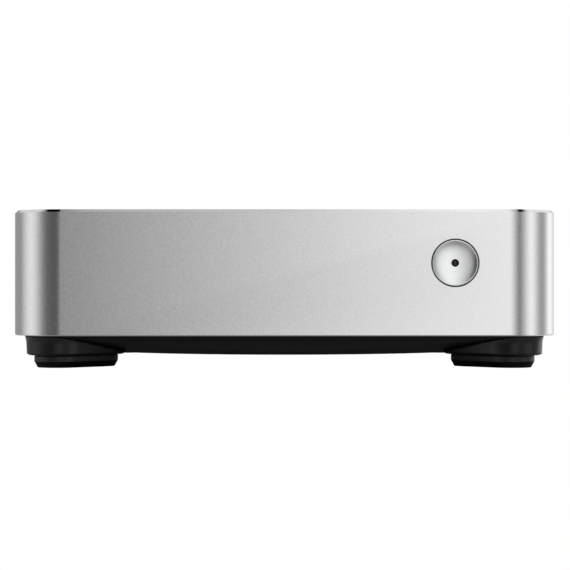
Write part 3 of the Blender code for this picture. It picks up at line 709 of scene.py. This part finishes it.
def new_tree(name, **dials):
    """Geometry tree with named inputs; gives the tree, its dials and where instances go in."""
    tree = bpy.data.node_groups.new(name, "GeometryNodeTree")
    kinds = {"Material": "NodeSocketMaterial", "Count": "NodeSocketInt",
             "Size": "NodeSocketVector"}
    tree.interface.new_socket("Geometry", in_out="INPUT", socket_type="NodeSocketGeometry")
    for key, value in dials.items():
        socket = tree.interface.new_socket(key, in_out="INPUT",
                                           socket_type=kinds.get(key, "NodeSocketFloat"))
        if value is not None:
            socket.default_value = value
    tree.interface.new_socket("Geometry", in_out="OUTPUT", socket_type="NodeSocketGeometry")
    dial = node(tree, "NodeGroupInput").outputs
    real = node(tree, "GeometryNodeRealizeInstances")
    coat = node(tree, "GeometryNodeSetMaterial", {"Geometry": real.outputs["Geometry"],
                                                  "Material": dial["Material"]})
    node(tree, "NodeGroupOutput", {"Geometry": coat.outputs["Geometry"]})
    return tree, dial, real.inputs["Geometry"]


def stand_on(tree, end, points, piece, angle=None):
    """Put a piece on every point, turned about Z by an angle or by the point's own turn."""
    if angle is None:
        angle = node(tree, "GeometryNodeInputNamedAttribute", {"Name": "turn"},
                     data_type="FLOAT").outputs["Attribute"]
    about = node(tree, "ShaderNodeCombineXYZ", {"Z": angle})
    euler = node(tree, "FunctionNodeEulerToRotation", {"Euler": about.outputs["Vector"]})
    stand = node(tree, "GeometryNodeInstanceOnPoints", {
        "Points": points, "Instance": piece, "Rotation": euler.outputs["Rotation"]})
    feed(tree, stand.outputs["Instances"], end)
    return tree


def block_tree():
    """A block on every spot."""
    tree, dial, end = new_tree("repeat_block", Size=(0.001, 0.001, 0.001), Material=None)
    cube = node(tree, "GeometryNodeMeshCube", {"Size": dial["Size"]})
    return stand_on(tree, end, dial["Geometry"], cube.outputs["Mesh"])


def screw_tree():
    """Low round head with a cross cut into it, on every spot."""
    tree, dial, end = new_tree("repeat_screw", Radius=0.002, Height=0.001, Cut=0.0006,
                               Material=None)
    head = node(tree, "GeometryNodeMeshCylinder", {"Vertices": 28, "Radius": dial["Radius"],
                                                   "Depth": dial["Height"]})
    minus = node(tree, "GeometryNodeMeshBoolean", {"Mesh 1": head.outputs["Mesh"]},
                 operation="DIFFERENCE")
    top = maths(tree, "MULTIPLY", dial["Height"], 0.5)
    for long_way, short_way in (("X", "Y"), ("Y", "X")):
        size = node(tree, "ShaderNodeCombineXYZ", {
            long_way: dial["Radius"], short_way: dial["Cut"], "Z": dial["Height"]})
        slit = node(tree, "GeometryNodeMeshCube", {"Size": size.outputs["Vector"]})
        up = node(tree, "ShaderNodeCombineXYZ", {"Z": top})
        lift = node(tree, "GeometryNodeTransform", {"Geometry": slit.outputs["Mesh"],
                                                    "Translation": up.outputs["Vector"]})
        feed(tree, lift.outputs["Geometry"], minus.inputs["Mesh 2"])
    return stand_on(tree, end, dial["Geometry"], minus.outputs["Mesh"])


def spin_tree():
    """Copies of what it is given, evenly about the Z axis."""
    tree, dial, end = new_tree("repeat_about_axis", Count=9, Material=None)
    dots = node(tree, "GeometryNodePoints", {"Count": dial["Count"]})
    index = node(tree, "GeometryNodeInputIndex").outputs["Index"]
    share = maths(tree, "DIVIDE", index, dial["Count"])
    return stand_on(tree, end, dots.outputs["Points"], dial["Geometry"],
                    maths(tree, "MULTIPLY", share, 2 * math.pi))


BLOCKS, SCREWS, SPIN = block_tree(), screw_tree(), spin_tree()


def spots(points):
    """Mesh of loose points in millimetres, (x, y, z) or (x, y, z, degrees)."""
    mesh = bpy.data.meshes.new("spots")
    mesh.from_pydata([Vector(p[:3]) * MM for p in points], [], [])
    turn = mesh.attributes.new("turn", "FLOAT", "POINT")
    for item, p in zip(turn.data, points):
        item.value = math.radians(p[3]) if len(p) > 3 else 0.0
    made = bpy.data.objects.new("spots", mesh)
    bpy.context.scene.collection.objects.link(made)
    return made


def run_tree(name, tree, start, mat, face=None, sharp=30.0, **dials):
    """Run a tree on its start mesh and keep the result as one plain mesh."""
    if face:
        start.matrix_world = face
    modifier = start.modifiers.new("grow", "NODES")
    modifier.node_group = tree
    dials["Material"] = mat
    for item in tree.interface.items_tree:
        if item.in_out == "INPUT" and item.name in dials:
            value = dials[item.name]
            if isinstance(value, tuple):
                for axis in range(3):
                    modifier[item.identifier][axis] = value[axis] * MM
            elif isinstance(value, float):
                modifier[item.identifier] = value * MM
            else:
                modifier[item.identifier] = value
    return settle(start, name, mat, sharp=sharp)


def grow(name, tree, start, mat, part_slot, body="chassis", **more):
    return ready(run_tree(name, tree, start, mat, **more), body)


def blocks(name, points, size, mat, part_slot, **more):
    return grow(name, BLOCKS, spots(points), mat, part_slot, Size=size, **more)


def screws(name, points, radius, height, part_slot="plated_steel", **more):
    return grow(name, SCREWS, spots(points), PLATED, part_slot, Radius=radius, Height=height,
                Cut=radius * 0.28, **more)


# ------------------------------------------------------------------ cooling

# In millimetres
FAN_X, FAN_Y = 42.0, 26.0
BLADE_ROOT = 13.6
BLADE_REACH = 16.0
BLADE_TOP = 43.2
BLADE_FALL = 6.2
BLADE_SWEEP = 30
BLADE_CHORD = 36


def blade():
    """Swept, cambered sheet from the hub to near the housing's bore."""
    bm = bmesh.new()
    across, along = 8, 10
    grid = []
    for i in range(across + 1):
        u = i / across
        radius = (BLADE_ROOT + BLADE_REACH * u) * MM
        row = []
        for j in range(along + 1):
            v = j / along
            angle = math.radians(BLADE_SWEEP * u ** 1.3 + (v - 0.5) * (BLADE_CHORD - 6 * u))
            lift = BLADE_TOP - BLADE_FALL * v + math.sin(math.pi * v) + 0.3 * u * (0.5 - v)
            row.append(bm.verts.new((radius * math.cos(angle), radius * math.sin(angle),
                                     lift * MM)))
        grid.append(row)
    for low, high in zip(grid, grid[1:]):
        for j in range(along):
            bm.faces.new((low[j], high[j], high[j + 1], low[j + 1]))
    return solid("blade", bm)


def make_fan():
    sheet = blade()
    wall = sheet.modifiers.new("wall", "SOLIDIFY")
    wall.thickness = 0.7 * MM
    wall.offset = 0.0
    blades = grow("fan_blades", SPIN, sheet, FAN_BLACK, "fan_plastic", "rotor",
                  face=at(FAN_X, FAN_Y), sharp=50.0, Count=9)
    hub = [(0, 43.5), (9.6, 43.5), (10.0, 43.7), (11.6, 43.75), (12.6, 43.6), (13.4, 43.1),
           (13.85, 42.3), (14.0, 41.0), (14.0, 36.4), (13.8, 36.2), (13.0, 36.2), (12.8, 36.4),
           (12.8, 42.0), (0, 42.0)]
    cup = solid("fan_hub", lathe(hub, at(FAN_X, FAN_Y), 72), FAN_BLACK, sharp=40.0)
    ready(cup, "rotor")
    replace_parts(cup, "fan_rotor")
    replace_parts(blades, "fan_rotor")
    corners = [(FAN_X + sx * 30.5, FAN_Y + sy * 30.5, 45.65, 20 * sx + 35 * sy)
               for sx in (-1, 1) for sy in (-1, 1)]
    screws("fan_screws", corners, 2.7, 0.9)


def make_cooler():
    """Thin upright fins on a thick plate, with two flattened heat pipes under them."""
    floor = merged("cooler_plate", [plate((10, -6, 18.8), (74, 58, 21.4), 0.3)], FINS)
    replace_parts(ready(floor), "processor_cooler")
    lines = [(10.9 + 62.2 * k / 31, 26, 27.0) for k in range(32)]
    fins = blocks("cooler_fins", lines, (0.45, 63.6, 11.4), FINS, "fin_aluminium")
    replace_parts(fins, "processor_cooler")
    blocks("cooler_heat_pipes", [(24, 26, 19.2), (60, 26, 19.2)], (6.0, 63.8, 0.7), GOLD,
           "fin_aluminium")
    screws("cooler_screws", [(12.6, -3.4, 21.7, 10), (71.4, -3.4, 21.7, 40), (12.6, 55.4, 21.7, 70),
                             (71.4, 55.4, 21.7, 25)], 1.3, 0.6)


# ------------------------------------------------------------------ drive and memory

def make_drive_details():
    levels = [(42.5 * MM, 0), (42.9 * MM, 0), (43.1 * MM, 0.3 * MM)]
    lid = placed(rounded_block(29 * MM, 44 * MM, 6 * MM, levels, 10), at(-47, -20.8))
    boss, hub, arm = (
        lathe([(0, high), (flat, high), (wide, edge), (wide, low), (0, low)], at(x, y), steps)
        for x, y, flat, wide, high, edge, low, steps in (
            (-47, -38, 14.2, 15.0, 43.5, 43.1, 43.0, 72),
            (-47, -38, 4.2, 4.6, 43.8, 43.5, 43.4, 48),
            (-66, 6, 5.2, 5.8, 43.5, 43.1, 43.0, 48)))
    ready(merged("drive_lid", [lid, boss, hub, arm], DRIVE_METAL, sharp=35.0))
    tops = [(x, y, 42.7, 17 * k) for k, (x, y) in enumerate(
        ((-79, -68), (-15, -68), (-79, -20), (-15, -20), (-79, 26.5), (-15, 26.5)))]
    screws("drive_screws", tops, 1.7, 0.5)
    for name, x, side in (("bracket_screws_right", -9.5, 1), ("bracket_screws_left", -83.5, -1)):
        face = at(x, 0) @ Matrix.Rotation(side * math.pi / 2, 4, "Y")
        points = [(-36.6 * side, -48, 0.3, 30), (-36.6 * side, 8, 0.3, 65)]
        screws(name, points, 2.0, 0.7, face=face)


def make_memory_details():
    upper = [(x, y, 24.05) for x in (-60, -43.5, -26.5, -10) for y in (-57, -43)]
    lower = [(x, -36.5, 19.65) for x in (-60, -43.5, -26.5, -10)]
    blocks("memory_chips", upper + lower, (11.5, 9.6, 0.9), CHIP, "circuit_board")
    small = [(-66.5 + 3.3 * k, -37.3, 23.75, 90 * (k % 2)) for k in range(20)]
    small += [(-66.5 + 3.3 * k, -29.3, 19.35, 90 * (k % 2)) for k in range(20)]
    blocks("memory_small_parts", small, (1.2, 0.6, 0.4), CERAMIC, "circuit_board")
    fingers = [(-67 + 0.8 * k, -60.9, 23.65) for k in range(81)]
    fingers += [(-67 + 0.8 * k, -52.9, 19.25) for k in range(81)]
    blocks("memory_contacts", fingers, (0.5, 2.0, 0.08), GOLD, "circuit_board")


# ------------------------------------------------------------------ board

LEG_PITCH = 0.65
BIG_CHIPS = ((-34, 60, 14, 14), (-58, 62, 9, 9), (20, 66, 10, 7), (47, 66, 8, 8), (45, -40, 9, 9),
             (-28, -8, 13, 13), (66, -13, 7, 7), (-62, -8, 10, 6), (-14, 66, 6, 6), (45, -20, 6, 5))
COILS = ((2, 8), (2, 17), (2, 26), (2, 35), (2, 44), (68, 66))
TALL_CANS = ((-14, 36), (-14, 44), (-22, 36), (-22, 44), (58, 66), (76, 62), (40, -66), (50, -66))


def standing_parts():
    """Boxes, in millimetres, of what stands on the board or just over it."""
    passing = ("mainboard", "base_tub", "cover_shell", "rear_panel", "drive_bracket", "fan_lead",
               "aerial_lead_left", "aerial_lead_right")
    found = []
    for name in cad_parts:
        if name not in passing:
            low, high = (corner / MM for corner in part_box(name))
            if low.z < 19.5 and high.z > 16.0:
                found.append((low, high))
    return found


STANDING = standing_parts()


def free_of_parts(x, y, reach):
    """True where nothing stands on the board within reach of a place, in millimetres."""
    taken = [(cx, cy, w / 2, d / 2) for cx, cy, w, d in BIG_CHIPS]
    taken += [(cx, cy, 3.8, 3.8) for cx, cy in COILS]
    taken += [(cx, cy, 3.2, 3.2) for cx, cy in TALL_CANS]
    if any(abs(x - cx) < w + reach and abs(y - cy) < d + reach for cx, cy, w, d in taken):
        return False
    return not any(low.x - reach < x < high.x + reach and low.y - reach < y < high.y + reach
                   for low, high in STANDING)


def make_board_chips():
    top = BOARD_TOP
    for index, (x, y, w, d) in enumerate(BIG_CHIPS):
        name = f"board_chip_{index + 1}"
        body = plate((x - w / 2 + 0.6, y - d / 2 + 0.6, top + 0.15),
                     (x + w / 2 - 0.6, y + d / 2 - 0.6, top + 1.25), 0.12)
        dot = lathe(rod(0.4, top + 1.2, top + 1.27), at(x - w / 2 + 1.6, y + d / 2 - 1.6), 16)
        ready(merged(name, [body, dot], CHIP))
    legs = []
    for x, y, w, d in BIG_CHIPS:
        for k in range(int((w - 2) / LEG_PITCH) + 1):
            along = x - w / 2 + 1.1 + LEG_PITCH * k
            legs += [(along, y + s * (d / 2 - 0.2), top + 0.25, 0) for s in (-1, 1)]
        for k in range(int((d - 2) / LEG_PITCH) + 1):
            along = y - d / 2 + 1.1 + LEG_PITCH * k
            legs += [(x + s * (w / 2 - 0.2), along, top + 0.25, 90) for s in (-1, 1)]
    blocks("chip_legs", legs, (0.3, 1.1, 0.3), TIN, "plated_steel")


def make_power_parts():
    top = BOARD_TOP
    blocks("power_coils", [(x, y, top + 1.9) for x, y in COILS], (6.6, 6.6, 3.6), FERRITE,
           "socket_plastic")
    blocks("coil_ends", [(x + s * 2.6, y, top + 0.35) for x, y in COILS for s in (-1, 1)],
           (1.8, 7.0, 0.6), TIN, "plated_steel")
    for index, (x, y) in enumerate(TALL_CANS):
        can = [(0, 6.6), (2.2, 6.6), (2.3, 6.8), (2.7, 6.8), (2.9, 6.6), (2.9, 1.9), (2.7, 1.6),
               (2.7, 1.4), (2.9, 1.1), (2.9, 0.6), (0, 0.6)]
        can = solid(f"capacitor_{index + 1}", lathe(can, at(x, y, top), 32), CAN, sharp=40.0)
        ready(can)
    blocks("capacitor_bases", [(x, y, top + 0.35) for x, y in TALL_CANS], (6.2, 6.2, 0.6), CHIP,
           "socket_plastic")


def make_small_board_parts():
    """Ceramic capacitors and resistors on a grid, wherever the board is free."""
    top = BOARD_TOP
    grid = 1.3
    apart = 1.9
    chance = random.Random(41)
    places = []
    while len(places) < 230:
        x, y = chance.uniform(-78, 78), chance.uniform(-72, 72)
        x, y = round(x / grid) * grid, round(y / grid) * grid
        if free_of_parts(x, y, grid) and all(abs(x - a) > apart or abs(y - b) > apart
                                             for a, b, _ in places):
            places.append((x, y, chance.choice((0, 90))))
    ceramic, resistor = places[:130], places[130:]
    for name, group, size, mat in (("board_capacitors", ceramic, (1.1, 0.92, 0.8), CERAMIC),
                                   ("board_resistors", resistor, (1.1, 0.86, 0.5), CHIP)):
        blocks(name, [(x, y, top + size[2] / 2, turn) for x, y, turn in group], size, mat,
               "socket_plastic")
        ends = []
        for x, y, turn in group:
            dx, dy = (0.75, 0) if turn == 0 else (0, 0.75)
            ends += [(x + s * dx, y + s * dy, top + size[2] / 2, turn) for s in (-1, 1)]
        blocks(name + "_ends", ends, (0.42, size[1] + 0.02, size[2] + 0.02), TIN, "plated_steel")


def make_board_extras():
    top = BOARD_TOP
    pins = [(-48 + 2.0 * i, 44 + 2.0 * j, top + 2.8) for i in range(7) for j in range(2)]
    blocks("header_pins", pins, (0.5, 0.5, 5.2), GOLD, "plated_steel")
    blocks("header_body", [(-42, 45, top + 1.0)], (14.2, 4.2, 1.9), SOCKET_BLACK, "socket_plastic")
    for index, (x, y, w) in enumerate(((-50, 55, 8), (34, 62, 5), (-8, -18, 6))):
        levels = [((top + 0.1) * MM, 0), ((top + 1.4) * MM, 0), ((top + 1.6) * MM, 0.2 * MM)]
        can = placed(rounded_block(w / 2 * MM, 2.0 * MM, 1.9 * MM, levels, 8), at(x, y))
        ready(solid(f"crystal_{index + 1}", can, CAN))
    levels = [(20.95 * MM, 0), (22.0 * MM, 0), (22.2 * MM, 0.2 * MM)]
    shield = placed(rounded_block(7.5 * MM, 6.5 * MM, 0.8 * MM, levels, 6), at(62, -37))
    ready(solid("wireless_shield", shield, STEEL))
    blocks("wireless_small_parts", [(71.3, -33 - 2.2 * k, 21.1, 90 * (k % 2)) for k in range(6)]
           + [(55 + 1.6 * k, -29.0, 21.1) for k in range(9)], (1.0, 0.55, 0.4), CERAMIC,
           "circuit_board")
    crosses = [(x, y, 18.3, turn) for (x, y), turn in zip(BOARD_SCREWS, (12, 40, 75, 30))]
    screws("board_screw_heads", crosses, 2.6, 0.3)


# ------------------------------------------------------------------ rear

def make_rear_details():
    tongues, gold = [], []
    for x in (-17, -36):
        for low in (20.6, 29.1):
            tongues.append((x, 87.0, low + 0.8))
            gold += [(x + s, 88.6, low - 0.12) for s in (-3.5, -1.2, 1.2, 3.5)]
    blocks("usb_tongues", tongues, (11.4, 11.9, 1.75), SOCKET_BLACK, "socket_plastic")
    blocks("usb_contacts", gold, (1.1, 7.0, 0.12), GOLD, "plated_steel")
    springs = [(x + s * 3.6, 91.5, z, 0)
               for x in (-17, -36) for s in (-1, 1) for z in (17.35, 25.85)]
    blocks("usb_springs", springs, (1.9, 4.0, 0.3), PLATED, "plated_steel")
    for name, x, z, wide, high, reach, count, lows in (
            ("video", 46, 19.65, 10.8, 1.5, 4.5, 10, (18.85, 20.45)),
            ("display", 25, 19.1, 11.8, 1.4, 5, 11, (18.35, 19.85))):
        blocks(name + "_tongue", [(x, 89.0, z)], (wide, 7.5, high), SOCKET_BLACK, "socket_plastic")
        gold = [(x - reach + k, 89.4, low) for k in range(count) for low in lows]
        blocks(name + "_contacts", gold, (0.4, 5.6, 0.12), GOLD, "plated_steel")
    blocks("network_contacts", [(4 - 3.57 + 1.02 * k, 86.0, 26.6) for k in range(8)],
           (0.4, 11.0, 0.3), GOLD, "plated_steel")
    walls = [plate(low, high) for low, high in (
        ((-1.9, 79.3, 19.6), (9.9, 79.6, 27.4)), ((-1.9, 79.6, 27.0), (9.9, 93.9, 27.38)),
        ((-1.88, 79.6, 19.7), (-1.5, 93.9, 27.0)), ((9.5, 79.6, 19.7), (9.88, 93.9, 27.0)))]
    ready(merged("network_liner", walls, SOCKET_BLACK))
    for side, x, window in (("left", -3.2, AMBER), ("right", 7.8, GREEN)):
        light = plate((x, 93.9, 27.9), (x + 3.4, 94.28, 29.4), 0.08)
        ready(merged("network_light_" + side, [light], window))
    ring = [(2.85, 0.25), (2.85, -0.2), (1.85, -0.2), (1.85, 0.25)]
    rings = [lathe(ring, looking(-1, -54 + side, 20.5, 94.45), 40, True) for side in (-3.5, 3.5)]
    ready(merged("audio_rings", rings, PLATED))
    pin = [(0.0, 0), (0.55, 0), (0.85, -0.3), (0.85, -9), (0, -9)]
    pin = lathe(pin, looking(-1, 66, 22, 93.2), 24)
    ready(merged("power_pin", [pin], PLATED))
    corners = [(sx * 73.2, z) for sx in (-1, 1) for z in (15.5, 40.2)]
    screws("panel_screws", [(x, -z, 0.15, 25 + x) for x, z in corners], 1.9, 0.55,
           face=looking(-1, 0, 0, 94.6))


# ------------------------------------------------------------------ front inside and cover inside

def make_front_details():
    face = [(0, 1.35), (1.2, 1.3), (2.2, 0.95), (2.6, 0.5), (5.6, 0.95), (5.9, 1.0), (6.4, 1.35),
            (7.0, 1.45), (7.6, 1.2), (7.9, 0.9), (7.9, 0.15), (0, 0.15)]
    for name, x in (("speaker_cone_left", -25.0), ("speaker_cone_right", 25.0)):
        cone = lathe(face, looking(1, x, 20, -87.0), 64)
        ready(solid(name, cone, CONE, sharp=45.0))
    points = [(x + dx, z, 0.25, 3 * dx)
              for x in (-25, 25) for dx in (-16.5, 16.5) for z in (13, 27)]
    screws("speaker_screws", points, 1.4, 0.5, face=looking(1, 0, 0, -88))
    ready(merged("button_lamp", [plate((57.9, -81.75, 35.4), (59.7, -81.25, 37.6), 0.1)], LAMP))
    small = [(57, 26, 0.3), (61.5, 42, 0.3, 90), (55, 42, 0.3), (63.5, 39, 0.3),
             (52.5, 27, 0.3, 90)]
    blocks("switch_small_parts", small, (1.6, 0.8, 0.6), CERAMIC, "circuit_board",
           face=looking(1, 0, 0, -81.2))


def make_cover_inside():
    ribs = [(x, -65 + 13 * k, 33) for k in range(11) for x in (-93.05, 93.05)]
    blocks("cover_side_ribs", ribs, (0.8, 1.0, 34.0), INNER_METAL, "cover_aluminium", body="cover")
    rows = [(-60 + 20 * k, 0, 52.95) for k in range(7)]
    blocks("cover_roof_ribs", rows, (1.0, 168.0, 0.6), INNER_METAL, "cover_aluminium", body="cover")
    pads = [plate((x, -60, 50.6), (x + 14, 20, 53.0), 0.8) for x in (-78, -30)]
    ready(merged("cover_foam_strips", pads, FOAM), "cover")


# ------------------------------------------------------------------ studio

LIGHT_SCALE = 1.5

# What the satin walls mirror, going round from the front: (degrees to the right, light).
WALL_OF_LIGHT = ((-180, 0.34), (-126, 0.34), (-115, 0.36), (-103, 0.62), (-90, 0.86), (-79, 0.95),
                 (-69, 0.83), (-58, 0.55), (-48, 0.28), (-38, 0.14), (-24, 0.10), (-12, 0.10),
                 (-7.5, 0.38), (-3.5, 0.54), (0, 0.74), (3.5, 0.93), (8.5, 1.14), (15, 0.95),
                 (24, 0.50), (32, 0.20), (42, 0.52), (52, 0.92), (61, 1.15), (71, 0.90),
                 (82, 0.50), (91, 0.38), (99, 0.42), (107, 0.66), (117, 1.08), (126, 1.25),
                 (145, 0.9), (180, 0.34))
# Overhead, by how far the direction leans to the right.
ROOF_OF_LIGHT = ((-1.0, 0.30), (-0.60, 0.75), (-0.52, 0.95), (-0.46, 0.60), (-0.40, 0.30),
                 (-0.35, 0.0), (-0.14, 0.0), (-0.12, 0.47), (0.0, 0.62), (0.06, 0.85), (0.11, 1.0),
                 (0.19, 0.68), (0.27, 0.42), (0.31, 0.0), (0.37, 0.0), (0.40, 0.30), (0.44, 0.60),
                 (0.48, 0.86), (0.53, 0.98), (1.0, 0.8))
# Softboxes half way up all round, the lit table, and the shade right under the base.
BAND_OF_LIGHT = ((-1.0, 0.95), (-0.35, 0.62), (0.25, 0.98), (0.6, 0.82), (1.0, 0.42))
TABLE_OF_LIGHT = ((-1.0, 0.62), (-0.3, 0.36), (0.09, 0.27), (0.5, 0.58), (1.0, 0.34))
UNDER_LIGHT = 0.2
SHADE_LIGHT = 0.028
SHADE_HALF = 88.0 * MM


def lights(tree, fac, stops):
    """Ramp of light from (position, light) stops."""
    return tones(tree, fac, [(spot, (light / LIGHT_SCALE,) * 3) for spot, light in stops])


def leaning(tree, lean, stops):
    """Ramp of light over how far the direction leans to the right, -1 to 1."""
    return lights(tree, lean, [(0.5 + 0.5 * spot, light) for spot, light in stops])


def blended(tree, height, start, end, low, high):
    """One light below start and another past end, easing between them."""
    ease = node(tree, "ShaderNodeMapRange", {"From Min": start, "From Max": end, "Value": height},
                interpolation_type="SMOOTHSTEP")
    return mixed(tree, ease.outputs["Result"], low, high)


def make_world():
    world = bpy.data.worlds.new("studio")
    bpy.context.scene.world = world
    world.use_nodes = True
    tree = world.node_tree
    ray = node(tree, "ShaderNodeTexCoord").outputs["Generated"]
    turn = node(tree, "ShaderNodeMapping", {"Rotation": (0, 0, math.pi / 2), "Vector": ray})
    round_about = node(tree, "ShaderNodeTexGradient", {"Vector": turn.outputs["Vector"]},
                       gradient_type="RADIAL")
    part = node(tree, "ShaderNodeSeparateXYZ", {"Vector": ray}).outputs
    lean = node(tree, "ShaderNodeMapRange", {"From Min": -1.0, "Value": part["X"]})
    lean = lean.outputs["Result"]
    walls = lights(tree, round_about.outputs["Fac"], [(0.5 + a / 360, v) for a, v in WALL_OF_LIGHT])
    band = blended(tree, part["Z"], 0.28, 0.48, walls, leaning(tree, lean, BAND_OF_LIGHT))
    sky = blended(tree, part["Z"], 0.80, 0.92, band, leaning(tree, lean, ROOF_OF_LIGHT))
    table = blended(tree, part["Z"], -0.82, -0.95, leaning(tree, lean, TABLE_OF_LIGHT),
                    (UNDER_LIGHT / LIGHT_SCALE,) * 3)
    light = tree.nodes["Background"].inputs
    feed(tree, blended(tree, part["Z"], -0.05, -0.28, sky, table), light["Color"])
    light["Strength"].default_value = LIGHT_SCALE


def camera_only(piece):
    for sight in ("diffuse", "glossy", "transmission", "volume_scatter", "shadow"):
        setattr(piece, "visible_" + sight, False)


def white_finish(name, strength):
    mat = bpy.data.materials.new(name)
    mat.use_nodes = True
    tree = mat.node_tree
    tree.nodes.remove(tree.nodes["Principled BSDF"])
    glow = node(tree, "ShaderNodeEmission", {"Strength": strength})
    feed(tree, glow.outputs["Emission"], tree.nodes["Material Output"].inputs["Surface"])
    return mat


def make_stage():
    floor = bmesh.new()
    bmesh.ops.create_circle(floor, cap_ends=True, segments=64, radius=3.0)
    bmesh.ops.translate(floor, vec=(0, 0, -0.0006), verts=floor.verts)
    camera_only(solid("floor", floor, white_finish("pale_floor", 1.0)))
    shade = bmesh.new()
    shade.faces.new([shade.verts.new((x, y, -0.0003))
                     for x, y in rounded_ring(SHADE_HALF, SHADE_HALF, BASE_ROUND, 8)])
    shade = solid("shade_under_base", shade, white_finish("table_shade", SHADE_LIGHT))
    shade.visible_camera = False
    shade.visible_shadow = False
    dome = bmesh.new()
    bmesh.ops.create_uvsphere(dome, u_segments=48, v_segments=24, radius=8.0)
    camera_only(solid("backdrop", dome, white_finish("white_backdrop", 1.0)))


def make_camera():
    lens = bpy.data.cameras.new("camera")
    lens.sensor_width = 36.0
    lens.lens = 119.4
    lens.clip_start = 0.01
    camera = bpy.data.objects.new("camera", lens)
    bpy.context.scene.collection.objects.link(camera)
    camera.location = (0.0002, -0.745, 0.0289)
    camera.rotation_euler = (math.pi / 2, 0, 0)
    bpy.context.scene.camera = camera


make_camera()
make_world()
make_stage()
bpy.context.scene.view_settings.view_transform = "Standard"

make_cover()
make_button()
make_base()
make_pads()
finish_parts()
make_fan()
make_cooler()
make_drive_details()
make_memory_details()
make_board_chips()
make_power_parts()
make_small_board_parts()
make_board_extras()
make_rear_details()
make_front_details()
make_cover_inside()
